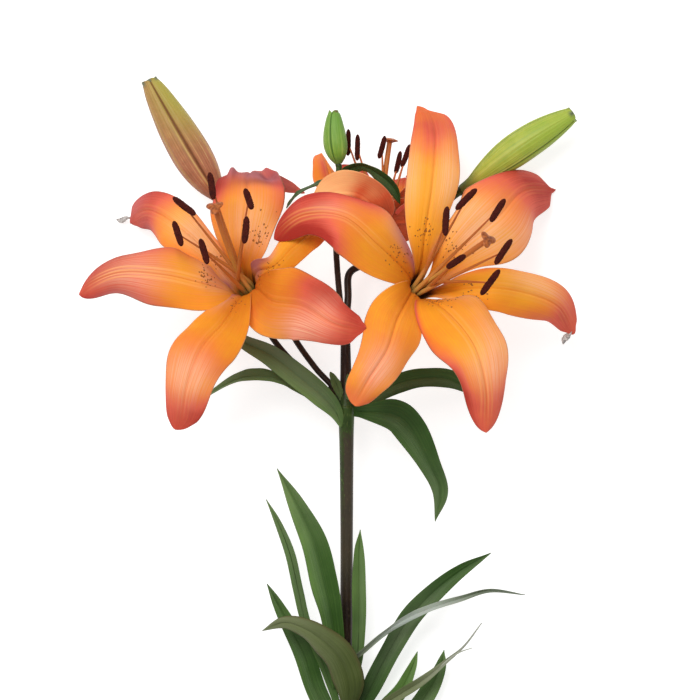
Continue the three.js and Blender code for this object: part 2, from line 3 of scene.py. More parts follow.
import bpy
import numpy as np
from bpy.props import FloatProperty, FloatVectorProperty, IntProperty, PointerProperty
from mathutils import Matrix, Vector


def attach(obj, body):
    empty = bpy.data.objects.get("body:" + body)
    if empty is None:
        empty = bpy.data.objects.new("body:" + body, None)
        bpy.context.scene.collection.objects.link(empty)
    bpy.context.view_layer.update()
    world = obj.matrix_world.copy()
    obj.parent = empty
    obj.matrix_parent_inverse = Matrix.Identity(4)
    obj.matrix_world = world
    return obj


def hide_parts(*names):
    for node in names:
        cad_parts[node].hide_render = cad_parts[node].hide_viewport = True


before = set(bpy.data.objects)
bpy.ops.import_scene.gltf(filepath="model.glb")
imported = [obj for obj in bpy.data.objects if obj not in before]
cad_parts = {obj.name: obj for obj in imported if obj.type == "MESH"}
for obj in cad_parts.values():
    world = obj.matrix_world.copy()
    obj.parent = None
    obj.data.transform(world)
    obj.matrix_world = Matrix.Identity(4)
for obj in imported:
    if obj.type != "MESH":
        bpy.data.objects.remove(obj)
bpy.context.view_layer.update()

bl_info = {
    "name": "Orange Lily Stem",
    "version": (1, 0, 0),
    "blender": (4, 5, 0),
    "location": "View3D > Sidebar > Lily",
    "description": "Makes the petals, stamens, buds, leaves and stem of a cut lily",
    "category": "Object",
}

MM = 0.001
SEED = 7

# Where a tepal leaves the receptacle and the throat, in mm
TEPAL_RING_RADIUS = 4.2
TEPAL_BASE_HALF = 1.8
THROAT_RADIUS = 9
THROAT_HEIGHT = 14
SEAT_GAP = 0.35

# How a blade is drawn: its rows crowd towards the tip, which narrows from tip start and once more at the nib
ROW_CROWDING = 1.3
TEPAL_TIP_START = 0.72
LEAF_TIP_START = 0.85
NIB_START = 0.95
NIB_LENGTH = 0.03
EDGE_WAVES = 15
LEAF_CURL_WAVE = 0.4

# Freckles: sides, smallest and largest size, and each ring's share of the size and height in mm
FRECKLE_SIDES = 8
FRECKLE_SIZES = (0.22, 0.48)
FRECKLE_RINGS = ((1, -0.1), (0.95, 0.06), (0.5, 0.16))

# The parts inside a bloom, in mm
OVARY_LENGTH = 17
STIGMA_RADIUS = 3.7
FILAMENT_BOW = 2
ANTHER_CLEARANCE = 1.5
BACK_ANTHER_SHARE = 0.8

# Steps along and round the tubes
TUBE_ROWS = 40
OVARY_ROWS = 24
OVARY_SIDES = 30
STYLE_SIDES = 16
FILAMENT_SIDES = 12
STIGMA_ROWS = 18
STIGMA_SIDES = 36
ANTHER_ROWS = 44
ANTHER_SIDES = 28
BUD_ROWS = 110
BUD_MOUTH_ROWS = 6
BUD_SIDES = 144
DRIED_ROWS = 24
DRIED_TIP_SIDES = 14
STRAND_SIDES = 10
STEM_SIDES = 40
PEDICEL_SIDES = 24

# What a tepal has where its own record says nothing else
PLAIN_TEPAL = {
    "tip": (2.2, 0.25, 0), "half": 3.8, "flush": 0.2, "tipped": (0.45, 0.9, 0.6), "edged": (0.3, 0.3),
    "pale": 0.2, "groove": 0.45, "throat": 1, "freckles": (12, 0.35, 0, 0.05, 0.4), "swells": (),
    "patches": (), "blanched": (), "mauve": (), "shade": (), "dusk": (),
}

# The tepals, named by bloom and place. Each starts at an angle round its bloom's axis and runs through the
# throat, where it is half wide, and its spine of [x, y, z, half width, twist], from the bloom's base. curl is
# how its edges rise at the throat and beyond, and tip how blunt it is, how sharply its nib narrows and to
# which edge that leans. flush is its coral, tipped (from, to, how much) deepens it towards the tip and edged
# (how much, from) along both edges. A patch is (along, across, reach along, reach across, how much): patches
# deepen the flush, the pinkish white ones are partly a paler tint and partly painted highlight, the ones that
# darken the gold are painted shade and the darkest ones deeper painted shade, and swells are in mm. pale is
# the strength of the light lines beside the midrib, and throat how dark the foot is. freckles are (number,
# along, across, reach along, reach across), and dried is the path of a withered tip.
TEPALS = {
    "right_upright": {
        "angle": 0, "curl": (0.3, -0.2), "wave": 1.2, "tip": (6, 0.7, 0), "flush": 0.06,
        "tipped": (0.5, 0.82, 0.56), "edged": (0.15, 0.4), "freckles": (30, 0.38, 0.1, 0.06, 0.45),
        "spine": [(26.6, 23.4, 13, 14.2), (43.8, 38.2, 9, 20.7), (57.6, 52.2, -10, 14.4, 10),
            (75, 54, -38.8, 9.6, 20)],
        "patches": [(0.97, 0, 0.07, 0.8, 0.4), (0.86, 0.1, 0.08, 0.9, 0.3)],
        "blanched": [(0.5, 0.2, 0.14, 1.1, 0.68), (0.66, -0.9, 0.1, 0.4, 0.5),
            (0.25, -0.9, 0.1, 0.3, 0.5)],
        "mauve": [(0.14, -0.8, 0.06, 0.4, 0.5)],
    },
    "right_top": {
        "angle": 60, "curl": (0.4, -0.2), "wave": 0.6, "tip": (5, 0.5, 0.8), "flush": 0.0,
        "tipped": (0.64, 0.9, 0.5), "edged": (0.15, 0.35), "pale": 0.12, "groove": 0.25,
        "freckles": (30, 0.41, 0.15, 0.045, 0.4),
        "spine": [(7.5, 31, 20, 9.5, -10), (11, 54, 20, 13.3, -15), (13, 78, 6, 11.8, -25),
            (11.7, 95.8, -14, 9.7, -32)],
        "patches": [(0.8, 0.1, 0.09, 0.45, 0.35)],
        "blanched": [(0.64, -0.6, 0.14, 0.5, 0.6), (0.62, 0.9, 0.14, 0.4, 0.5)],
        "mauve": [(0.27, -1, 0.09, 0.35, 1.2), (0.3, 1, 0.08, 0.15, 0.4)],
        "shade": [(0.42, 0.1, 0.06, 0.35, 0.15), (0.9, 0.2, 0.1, 0.9, 0.75)],
    },
    "right_left": {
        "angle": 120, "curl": (0.3, -0.32), "wave": 0.7, "tip": (3.5, 0, 0.5), "half": 6, "flush": 0.08,
        "tipped": (0.42, 0.8, 0.8), "edged": (0.25, 0.3), "pale": 0.6, "groove": 0.9,
        "freckles": (34, 0.31, -0.25, 0.045, 0.35),
        "spine": [(-16.4, 24.2, 38, 16.3, -15), (-32.6, 37.4, 46, 15.4, 0), (-52, 38.6, 44, 10.3, -20),
            (-68.5, 30.2, 29, 8, -30)],
        "patches": [(0.5, -0.9, 0.12, 0.35, 0.3), (0.78, 0.9, 0.25, 0.3, 0.4), (0.95, 0, 0.08, 1, 0.15)],
        "blanched": [(0.33, -0.75, 0.08, 0.25, 0.35), (0.68, -0.2, 0.1, 0.3, 0.3)],
        "mauve": [(0.24, -1, 0.14, 0.4, 1.4)],
        "shade": [(0.55, -1, 0.15, 0.2, 0.3), (0.5, 0, 0.1, 0.9, 0.2)],
    },
    "right_lower_left": {
        "angle": 180, "curl": (0.3, -0.25), "wave": 0.5, "tip": (3, 0.1, 0), "half": 6.5, "flush": 0.08,
        "tipped": (0.82, 1.0, 0.35), "edged": (0.1, 0.3), "pale": 0.25,
        "freckles": (10, 0.2, 0.3, 0.05, 0.5),
        "spine": [(-6.9, -13.2, 41, 15.2, 15), (-12, -28.3, 57, 12.8, 20), (-21, -42.5, 63, 10, 20),
            (-28, -55, 57, 9.5, 20)],
        "patches": [(0.66, 0, 0.2, 1, 0.24), (0.76, 0.1, 0.12, 0.5, 0.3)],
        "blanched": [(0.71, 0.1, 0.13, 0.7, 0.65)],
        "shade": [(0.3, -0.2, 0.08, 0.5, 0.5), (0.95, 0.9, 0.1, 0.4, 0.5)],
    },
    "right_lower_right": {
        "angle": -120, "curl": (0.3, -0.25), "wave": 0.8, "tip": (4.5, 0, 0), "half": 5.5, "flush": 0.02,
        "tipped": (0.62, 0.9, 0.62), "edged": (0.2, 0.3), "pale": 0.6, "groove": 0.8,
        "freckles": (52, 0.29, 0.25, 0.05, 0.4),
        "spine": [(18.2, -9.6, 35, 17.2, 30), (30.9, -25.6, 48, 16.6, 30), (36.6, -46, 48, 11.3, 30),
            (37, -68.6, 35, 7.2, 35)],
        "patches": [(0.68, -0.95, 0.2, 0.3, 0.5), (0.3, -1, 0.15, 0.12, 0.7),
            (0.62, 0.5, 0.16, 0.35, 0.15)],
        "blanched": [(0.66, 0.7, 0.16, 0.45, 0.55), (0.72, 0, 0.1, 0.6, 0.45),
            (0.27, 0.9, 0.11, 0.35, 0.85)],
        "shade": [(0.78, -0.95, 0.1, 0.25, 0.5), (0.42, 0, 0.14, 2, 0.4)],
    },
    "right_right": {
        "angle": -60, "curl": (0.3, -0.3), "wave": 0.6, "flush": 0.02, "tipped": (0.66, 0.92, 0.66),
        "edged": (0.1, 0.3), "pale": 0.3, "freckles": (18, 0.42, -0.2, 0.05, 0.4),
        "spine": [(28.8, 2.6, 20, 8.8, 20), (50, 1.9, 20, 12, 25), (73.2, -5.4, 5, 10.3, 45),
            (83.4, -19.9, -14, 8.5, 70)],
        "dried": [(82, -18.4, -12.5), (80.2, -20.8, -14), (78.6, -22.6, -15), (78, -25, -16)],
        "dried_halves": (0.5, 1.1, 1.1, 0.4),
        "patches": [(0.86, -0.2, 0.1, 0.4, 0.2), (0.45, 0.95, 0.1, 0.2, 0.3),
            (0.7, -0.9, 0.1, 0.35, 0.3)],
        "blanched": [(0.71, 0.6, 0.12, 0.5, 0.55), (0.28, -0.9, 0.08, 0.3, 0.4)],
        "mauve": [(0.24, 1, 0.1, 0.3, 0.8)],
        "shade": [(0.5, 0.1, 0.1, 0.3, 0.1)],
    },
    "left_upper_left": {
        "angle": 30, "curl": (0.3, -0.25), "wave": 0.5, "tip": (4, 0.3, 0.4), "half": 6.5, "flush": 0.1,
        "tipped": (0.6, 0.84, 0.75), "edged": (0.2, 0.3), "throat": 0.1,
        "freckles": (12, 0.34, 0.2, 0.05, 0.4),
        "spine": [(-21, 22, 15, 8), (-36, 35, 12, 12, -10), (-51, 43.5, -8, 10, -45),
            (-63, 40.5, -31, 8.5, -75)],
        "dried": [(-62.5, 40.5, -31), (-65, 40, -35), (-67.5, 39.3, -37.5), (-69.5, 39.8, -38.4)],
        "dried_halves": (0.5, 1.2, 0.9, 0.35),
        "blanched": [(0.45, -0.3, 0.17, 0.8, 0.85), (0.21, -0.3, 0.1, 1.3, 0.8)],
        "mauve": [(0.92, -0.5, 0.08, 0.6, 0.35), (0.17, 0.7, 0.06, 0.35, 1.2)],
        "shade": [(0.22, 0, 0.1, 2, -0.8), (0.75, 0.2, 0.08, 1, 0.3), (0.16, 0.6, 0.08, 0.5, -0.8)],
    },
    "left_left": {
        "angle": 90, "curl": (0.3, -0.3), "wave": 0.8, "tip": (4.5, 0, 0.5), "half": 8, "flush": 0.06,
        "tipped": (0.5, 0.82, 0.78), "edged": (0.25, 0.4), "pale": 0.9, "throat": 0.2, "groove": 0.9,
        "freckles": (34, 0.36, -0.35, 0.05, 0.35),
        "spine": [(-24.5, 6.2, 28, 13.9, -30), (-42.4, 10.4, 34, 15.3, -35), (-64.5, 11.5, 28, 10.8, -35),
            (-85.2, 4.4, 14, 8.4, -40)],
        "patches": [(0.5, -0.95, 0.15, 0.25, 0.2)],
        "blanched": [(0.28, -0.5, 0.12, 0.75, 1), (0.74, 0, 0.16, 1, 0.45)],
        "mauve": [(0.19, -1, 0.12, 0.45, 0.9), (0.82, 1, 0.14, 0.2, 0.4)],
        "shade": [(0.72, 0.95, 0.15, 0.25, 0.5), (0.5, -1, 0.15, 0.2, 0.3), (0.24, -0.5, 0.1, 0.9, -1),
            (0.66, 0, 0.24, 2, 0.6)],
    },
    "left_bottom": {
        "angle": 150, "curl": (0.3, -0.25), "wave": 0.5, "tip": (4, 0.1, -0.3), "half": 6, "flush": 0.06,
        "tipped": (0.72, 0.96, 0.75), "edged": (0.15, 0.4), "pale": 0.25,
        "freckles": (18, 0.27, 0, 0.03, 0.4),
        "spine": [(-12.6, -13.9, 40, 13.6, -20), (-22.9, -27, 56, 15.2, -30),
            (-30, -46.5, 57.5, 11.6, -30), (-32.5, -66.9, 45, 10.6, -30)],
        "patches": [(0.69, 0, 0.14, 1, 0.4)],
        "blanched": [(0.74, -0.1, 0.1, 0.9, 0.7), (0.26, -0.8, 0.08, 0.4, 0.4)],
        "mauve": [(0.17, -0.9, 0.08, 0.5, 1)],
        "shade": [(0.36, 0.3, 0.12, 0.9, 0.8), (0.26, 0.1, 0.09, 1, 0.6), (0.56, 0, 0.14, 2, 0.4)],
    },
    "left_lower_right": {
        "angle": -150, "curl": (0.3, -0.25), "wave": 1.2, "tip": (3, 0.3, 0.3), "half": 9, "flush": 0.16,
        "tipped": (0.46, 0.68, 0.55), "edged": (0.1, 0.4), "freckles": (10, 0.24, 0.6, 0.04, 0.3),
        "spine": [(12.1, -3, 38, 17.6, 10), (27, -5.7, 55, 16.4, 10), (41.3, -14, 61, 11.7, 10),
            (56.6, -19.2, 54, 10.4, 10)],
        "patches": [(0.72, 0.8, 0.2, 0.3, 0.2), (0.96, 0, 0.08, 1, 0.15), (0.58, 0.5, 0.1, 0.4, 0.15)],
        "blanched": [(0.62, -0.7, 0.14, 0.5, 0.55), (0.73, 0, 0.1, 0.8, 0.35)],
        "shade": [(0.29, 0.1, 0.12, 1, 0.8), (0.5, 0.3, 0.14, 1.6, 0.85), (0.66, 0.5, 0.12, 0.9, 0.35),
            (0.24, 0.5, 0.08, 1, 0.4)],
    },
    "left_upper_right": {
        "angle": -90, "curl": (0.4, -0.2), "wave": 0.6, "half": 5.5, "flush": 0.02,
        "tipped": (0.6, 1.0, 0.5), "edged": (0.1, 0.2), "pale": 0.15,
        "freckles": (26, 0.36, -0.2, 0.07, 0.5),
        "spine": [(12.4, 14.6, 27.5, 5.8), (21.8, 24, 32, 8.4), (32, 32, 25, 7), (42, 38, 13, 5)],
        "patches": [(0.4, 0.9, 0.1, 0.3, 0.3)],
        "blanched": [(0.42, 0.9, 0.1, 0.4, 0.5)],
        "mauve": [(0.26, 0.95, 0.12, 0.4, 0.9), (0.23, 0.2, 0.06, 1.1, 0.8)],
        "shade": [(0.62, -0.5, 0.14, 0.9, 1.0), (0.42, -0.5, 0.14, 0.6, 0.5)],
    },
    "left_top": {
        "angle": -30, "curl": (0.3, -0.15), "wave": 1.0, "half": 6, "flush": 0.12,
        "tipped": (0.5, 0.68, 0.5), "edged": (0.25, 0.35), "throat": 0.35,
        "freckles": (34, 0.37, -0.6, 0.05, 0.3),
        "spine": [(-3.3, 28, 15.6, 13), (-1.5, 46, 13, 18.5), (-1, 61, 1, 15.5), (4, 61, -10, 7, -40),
            (27, 52.6, -20, 4.6, -60)],
        "swells": [(0.655, 0.52, 0.035, 0.11, 4.4), (0.7, -0.62, 0.1, 0.28, -4),
            (0.67, -1, 0.05, 0.14, 2)],
        "patches": [(0.56, 0.95, 0.12, 0.35, 0.4), (0.56, -0.9, 0.12, 0.3, 0.2)],
        "blanched": [(0.4, -0.2, 0.14, 0.7, 0.45), (0.36, -0.9, 0.08, 0.3, 0.4)],
        "mauve": [(0.66, -0.4, 0.05, 0.75, 1.1), (0.655, 0.52, 0.03, 0.12, 0.8), (0.85, 0, 0.15, 2, 0.9),
            (0.25, 1, 0.1, 0.2, 0.4)],
        "shade": [(0.6, 0.9, 0.08, 0.3, 0.4), (0.2, 0, 0.12, 2, -0.7), (0.48, 0, 0.08, 2, 0.4)],
        "dusk": [(0.61, -0.35, 0.025, 0.6, 0.6), (0.68, -0.2, 0.05, 1.2, 0.5), (0.6, 0.7, 0.04, 0.6, 0.4),
            (0.82, 0, 0.14, 2, 0.45)],
    },
    "back_front": {
        "angle": 165, "curl": (0.2, -0.25), "wave": 0.6, "flush": 0.0, "tipped": (0.9, 1.0, 0.1),
        "edged": (0.1, 0.3), "freckles": (4, 0.35, 0, 0.05, 0.4),
        "spine": [(-5, 19, 20, 10.5, 15), (-14, 26.3, 29, 14, 35), (-25.5, 26.5, 34, 10.5, 75),
            (-37, 20, 34, 6, 85)],
        "patches": [(0.34, 0, 0.17, 2, 0.85), (0.6, 0.2, 0.07, 1.1, 0.35)],
        "blanched": [(0.43, 1, 0.08, 0.12, 1)],
        "dusk": [(0.38, -0.3, 0.08, 1, 0.5)],
    },
    "back_left": {
        "angle": 105, "curl": (0.3, -0.2), "wave": 0.5, "tip": (2.0, 0.2, 0.3), "flush": 0.16,
        "tipped": (0.75, 1.0, 0.2), "edged": (0.2, 0.4), "freckles": (4, 0.35, 0, 0.05, 0.4),
        "spine": [(-18, 24, 1, 8, -30), (-26, 33, -2, 11, -40), (-29, 42, -6, 10, -40),
            (-31, 49, -13, 6, -40)],
        "patches": [(0.75, -0.7, 0.2, 0.4, 0.3), (0.77, 0.35, 0.14, 0.35, 0.5)],
    },
    "back_floor_left": {
        "angle": 45, "curl": (0.3, -0.1), "wave": 0.5,
        "spine": [(-13, 24, -16, 7.5), (-16.4, 33, -22, 10), (-13.5, 40, -26.5, 10),
            (-12.5, 44.5, -29.5, 6)],
    },
    "back_floor_right": {
        "angle": -15, "curl": (0.3, -0.1), "wave": 0.5,
        "spine": [(5, 24, -17, 9), (9, 32, -24, 10), (10, 36, -28, 8), (11, 38, -30.5, 4)],
    },
    "back_right": {
        "angle": -75, "curl": (0.3, -0.2), "wave": 0.5, "half": 7,
        "spine": [(15, 22, -3, 8), (19, 31, -6, 8, -15), (17, 36, -10, 7, -15), (11, 38, -14, 4)],
    },
    # Its deep flush paints its outer face a dark brown, partly its own colour and partly painted shade
    "back_front_right": {
        "angle": -135, "curl": (0.3, -0.2), "wave": 0.5, "half": 13, "flush": 0.8,
        "tipped": (0.5, 0.9, 0.1), "edged": (0.1, 0.3), "freckles": (4, 0.35, 0, 0.05, 0.4),
        "spine": [(10.5, 14.6, 7, 12.6, -15), (15, 24.4, 8, 10, -40), (22, 28, 9, 6.5, -70),
            (29, 25, 6, 3, -75)],
    },
}

# The stamens and style: the first filament's angle, each anther's two ends, and the stigma, from the base
STAMENS = {
    "right": (60, (36.6, 25.4, 57), [
        ((17.5, 42, 50), (16.5, 28, 55)), ((32, 51, 42), (22, 41, 48)), ((46, 46, 42), (39, 35, 48)),
        ((49, 26, 50), (41, 14, 54)), ((26, 18, 62), (17, 12, 62)), ((43, 11, 52), (34, -1, 56)),
    ]),
    "left": (-30, (-16, 42, 52), [
        ((-19, 60, 42), (-17, 47, 46)), ((-1.5, 52, 44), (2, 42, 50)), ((-0.5, 38, 54), (-1.5, 25, 58)),
        ((-23, 27, 56), (-19.5, 15, 58)), ((-37, 48, 38), (-26, 39.5, 44)),
        ((-36.5, 36, 44), (-32.5, 24, 48)),
    ]),
    "back": (90, (2.4, 54.5, 5), [
        ((-18.3, 60.9, 0), (-18.5, 48, -2)), ((-13.6, 57.9, 6), (-13.9, 45.2, 5)), ((0, 57, 10), (-3, 46, 9)),
        ((12.5, 53, 4), (8.5, 42, 3)), ((8, 50, -3), (5.5, 39, -3)), ((-6, 34, -9), (-8, 24, -7)),
    ]),
}

# The radius of a bud from its foot to its tip, as a share of its largest
BUD_SHAPE = (0.3, 0.62, 0.83, 0.95, 1, 0.99, 0.95, 0.89, 0.8, 0.7, 0.57, 0.38)
SLENDER_SHAPE = (0.3, 0.34, 0.52, 0.68, 0.8, 0.87, 0.89, 0.87, 0.82, 0.72, 0.58, 0.4)

# Buds: from the end on the pedicel to the tip, bowing to the left seen from the foot, and the way, in degrees
# round the bud, that the middle of its first outer tepal faces
BUDS = {
    "left": {
        "start": (-55.8, 117.1, 23), "end": (-90.7, 176.7, 29), "radius": 9.8, "bow": 0.6, "turn": 33,
        "shape": BUD_SHAPE,
    },
    "middle": {
        "start": (5.2, 133.4, 44), "end": (2.9, 160, 46), "radius": 5.8, "bow": 0.6, "turn": 5,
        "shape": BUD_SHAPE,
    },
    "right": {
        "start": (67.7, 120.9, 19.5), "end": (124, 159.5, 26), "radius": 9.4, "bow": 1.5, "turn": 84,
        "shape": SLENDER_SHAPE,
    },
}

# The stem up to the whorl and the axis above it, as [x, y, z, radius]
MAIN_STEM = [
    (9, -176, 3.2, 3.2), (9, -120, 9, 3.2), (9.3, -60, 18, 3.2), (9.2, -5, 27, 3.7), (9, 12, 30, 4.6),
]
UPPER_STEM = [(9, 9, 29.5, 4.6), (9, 20, 30.3, 3.2), (8.8, 36, 29.6, 2.7), (8.6, 54, 28, 2.3)]
CUT_PLACE = -175.4
RECEPTACLE_RADII = (1.6, 3.4, 4.7)

# Where the stem is green: the middle of each stretch and its reach
GREEN_SPOTS = [
    ((9, 8, 30), 13), ((4.4, 124, 43.5), 16), ((64, 118, 18), 11), ((28.5, 90, 32), 6), ((9, -165, 4), 12),
]

PEDICELS = {
    "left_bloom": {
        "radius": 1.6,
        "path": [(8, 14, 30), (0.5, 18.5, 29), (-13.8, 30, 27), (-26, 43, 26), (-34, 56, 29)],
    },
    "left_bud": {
        "radius": 1.6,
        "path": [(8, 16, 29), (0.3, 23.7, 28), (-7.6, 32.4, 26), (-19.3, 49.7, 22), (-34, 80, 19),
            (-47, 103, 20)],
    },
    "back_bloom": {
        "radius": 1.9,
        "path": [(8.7, 50, 28.5), (10, 66, 26), (10.6, 78.6, 25), (19, 83.6, 25)],
    },
    "middle_bud": {
        "radius": 1.6,
        "path": [(8.7, 50, 28.5), (6, 65, 28.5), (4, 90, 31), (4, 107, 41), (4.4, 120, 43.5)],
    },
    "right_bloom": {"radius": 2.0, "path": [(10, 15, 30), (19, 33, 27), (29, 50, 25), (37, 60, 30)]},
    "right_bud": {
        "radius": 1.8,
        "path": [(10, 15, 28), (24, 40, 21), (38, 68, 15), (50, 98, 14.5), (60, 114, 16.5)],
    },
}
WHORL_BRACTS = [
    [(7, 15, 32, 1.2), (4, 23, 34, 2.4), (1, 29, 36, 0.8)],
    [(10, 15, 33, 1.2), (10.5, 22, 36, 2), (10, 28, 38, 0.8)],
]

# Leaves: the curl of the edges, how much lighter the one half is, partly its own tint and partly painted
# light, how light each leaf is and how much grey wax, partly painted sheen, it has along its length, from
# 0 to 1, and the spine through [x, y, z, half width, twist]
LEAVES = {
    "whorl_left": {
        "curl": 0.3, "half_tint_and_painted_light": 0.25, "tones": (0.7, 0.7, 0.6, 0.56, 0.54, 0.56),
        "dusts_and_sheens": (0.25, 0.45, 0.6, 0.75, 0.9, 1),
        "spine": [(7, 1.5, 31, 1.2), (3.6, 9, 34, 3.6), (-3, 17, 38, 5.6), (-14, 26, 40, 6),
            (-28, 37, 40, 5.5), (-42, 44, 38, 3.5), (-53, 53, 34, 1)],
    },
    "whorl_far_left": {
        "curl": 0.3, "half_tint_and_painted_light": 0.2, "tones": (0.6, 0.6, 0.6, 0.62, 0.66, 0.7),
        "dusts_and_sheens": (0.3, 0.35, 0.4, 0.45, 0.5, 0.5),
        "spine": [(4.1, 12, 27.8, 2.2), (-15, 20.6, 29.5, 4.4, 45), (-24, 25, 32, 4, 45),
            (-36, 26.9, 32, 3.9, 45), (-48, 24.4, 28, 3.4, 45), (-66, 14, 20, 1, 45)],
    },
    "whorl_right": {
        "curl": 0.3, "half_tint_and_painted_light": -0.2, "tones": (0.55, 0.55, 0.52, 0.5, 0.5, 0.5),
        "dusts_and_sheens": (0.1, 0.2, 0.15, 0.15, 0.15, 0.2),
        "spine": [(14.3, 12, 30, 2.2), (23.5, 17, 32, 4), (35, 23, 33, 4.8), (48, 26, 32, 4.8),
            (62, 25, 28, 4.5), (77, 16, 20, 1)],
    },
    "whorl_lower_right": {
        "curl": 0.25, "half_tint_and_painted_light": 0.1, "tones": (0.2, 0.36, 0.4, 0.42, 0.55, 0.62),
        "dusts_and_sheens": (0, 0.05, 0.05, 0.1, 0.35, 0.5),
        "spine": [(13, 9, 33, 2.5), (19.5, 9, 38, 4), (33.4, 7.4, 44, 8), (41.6, 0.4, 44, 8.3),
            (50.6, -16.4, 38, 5.6), (56.6, -31, 30, 4), (54.2, -46.8, 22, 1)],
    },
    "bract_right": {
        "curl": 0.2, "half_tint_and_painted_light": 0.1, "tones": (0.35, 0.3, 0.3, 0.25, 0.2, 0.1),
        "dusts_and_sheens": (0.1, 0, 0, 0, 0, 0),
        "spine": [(7, 127.5, 44.5, 1.2), (11, 131, 48, 3.4, 40), (18, 132, 51, 4.2, 40),
            (27, 126.5, 53, 4.4, 25), (33, 120.5, 53, 4, 20), (36, 113, 51, 1, 20)],
    },
    "bract_left": {
        "curl": 0.2, "half_tint_and_painted_light": 0, "tones": (0.3, 0.3, 0.3, 0.3, 0.3, 0.3),
        "dusts_and_sheens": (0.2, 0.2, 0.2, 0.2, 0.2, 0.2),
        "spine": [(2.5, 125, 44.5, 1, 40), (-4, 123.5, 45, 3, 70), (-11.5, 120.5, 44, 3, 75),
            (-17.5, 116.5, 41, 2.5, 75), (-21, 111.5, 36, 0.8, 75)],
    },
    "tall_left": {
        "curl": 0.3, "half_tint_and_painted_light": 0.3, "tones": (0.3, 0.38, 0.43, 0.5, 0.6, 0.7),
        "dusts_and_sheens": (0, 0, 0, 0, 0.25, 0.4),
        "spine": [(4.6, -132, 12.8, 2.6), (4, -114, 19.5, 4.7), (1.5, -94, 23.5, 5.6), (-2, -77, 27, 7),
            (-7.2, -57, 28, 6.6), (-15.4, -39, 28, 4.5), (-25.9, -20, 26, 0.8)],
    },
    "thin_left": {
        "curl": 0.3, "half_tint_and_painted_light": 0.1, "tones": (0.55, 0.5, 0.58, 0.62, 0.66, 0.75),
        "dusts_and_sheens": (0.1, 0.2, 0.4, 0.35, 0.45, 0.5),
        "spine": [(4.6, -141, 9.6, 1.8), (-2.4, -120, 13.2, 2.5), (-11.3, -99, 15, 2.5),
            (-15.3, -82, 16, 2.6), (-19.4, -64, 17, 2.6), (-25.2, -48.6, 17, 1.8), (-31.6, -36, 16, 0.5)],
    },
    "low_left": {
        "curl": 0.3, "half_tint_and_painted_light": 0.1, "tones": (0.52, 0.54, 0.48, 0.46, 0.54, 0.64),
        "dusts_and_sheens": (0.2, 0.25, 0, 0.15, 0.1, 0.4),
        "spine": [(3.8, -159, 5.2, 1.8), (-1, -145, 4.8, 4.8), (-7, -132, 6.2, 5.2), (-12.5, -115, 9, 5),
            (-19.6, -101.4, 11.5, 4), (-25.6, -89.5, 13, 2.6), (-31.2, -79, 14, 0.8)],
    },
    "bronze_front": {
        "curl": -0.2, "half_tint_and_painted_light": 0.25, "tones": (0.15, 0.4, 0.55, 0.62, 0.7, 0.85),
        "dusts_and_sheens": (0, 0, 0.1, 0.2, 0.35, 0.7),
        "spine": [(10.5, -142, 10.7, 3.6), (10.5, -129, 19, 8), (6, -116.5, 26, 8.3),
            (-2, -107.5, 30, 7.5), (-11.5, -101, 30, 5.5), (-22.5, -98, 26, 3.2),
            (-33.5, -102.5, 19, 0.8)],
    },
    "slim_right": {
        "curl": 0.3, "half_tint_and_painted_light": 0.1, "tones": (0.55, 0.6, 0.62, 0.66, 0.62, 0.66),
        "dusts_and_sheens": (0.3, 0.3, 0.2, 0.25, 0.2, 0.1),
        "spine": [(13.3, -128, 10.6, 1.6), (15, -114, 14, 3), (15.6, -96, 17, 3.5), (15.6, -76, 21, 3.5),
            (15.6, -62, 23, 2.5), (16.2, -51, 25, 0.5)],
    },
    "broad_right": {
        "curl": 0.3, "half_tint_and_painted_light": 0.15, "tones": (0.2, 0.25, 0.36, 0.42, 0.36, 0.42),
        "dusts_and_sheens": (0, 0.15, 0.5, 0.35, 0, 0.2),
        "spine": [(14.4, -147, 6.2, 2), (22, -132, 9, 4.8), (32, -112, 13, 5), (42, -95.6, 16, 5.4),
            (53.8, -82.8, 18, 4.8), (67.6, -71.8, 20, 3.3), (82.5, -63, 20, 0.8)],
    },
    "dry_right": {
        "curl": 0.5, "half_tint_and_painted_light": 0.2, "tones": (0.05, 0.25, 0.8, 0.75, 0.1, 0.3),
        "dusts_and_sheens": (0, 0.1, 0.6, 0.45, 0, 0.3),
        "spine": [(10.5, -119, 13.5, 1), (17, -113.5, 19, 1.3), (27, -104, 26, 1.4, 30),
            (39, -96, 29, 2, 10), (51.5, -90.4, 30, 1.9, -20), (67, -85.6, 28, 1.5), (82, -81.9, 24, 1),
            (100, -84.5, 16, 0.5)],
    },
    "short_right": {
        "curl": 0.3, "half_tint_and_painted_light": 0.1, "tones": (0.75, 0.75, 0.75, 0.75, 0.75, 0.8),
        "dusts_and_sheens": (0, 0, 0, 0, 0, 0.1),
        "spine": [(13.6, -154, 5, 2), (22, -150.5, 5.4, 4.2), (31, -141, 7, 4.4), (38, -132, 8, 3.6),
            (42.4, -122.6, 9, 2.4), (45.4, -113.8, 10, 0.6)],
    },
    "outer_right": {
        "curl": 0.3, "half_tint_and_painted_light": 0.2, "tones": (0.55, 0.55, 0.55, 0.45, 0.4, 0.7),
        "dusts_and_sheens": (0.3, 0.3, 0.4, 0.2, 0.2, 0.4),
        "spine": [(13.5, -164, 4.6, 2.2), (28, -157, 5.4, 4.5), (42, -146, 6.5, 4.8),
            (52, -133, 7.5, 4.5), (57, -122, 9, 3), (59, -113, 10, 0.6)],
    },
    "withered_right": {
        "curl": 0.5, "half_tint_and_painted_light": 0.2, "tones": (0.3, 0.2, 0.2, 0.4, 0.7, 0.8),
        "dusts_and_sheens": (0, 0, 0, 0.25, 0.8, 1),
        "spine": [(12.6, -148, 8.2, 1.6), (25, -142, 14, 2.4), (38, -134, 17, 2.6), (49, -127, 18, 2.2),
            (60, -118, 18, 1.1), (69, -110.5, 17, 0.5), (78, -99, 14, 0.4)],
    },
}

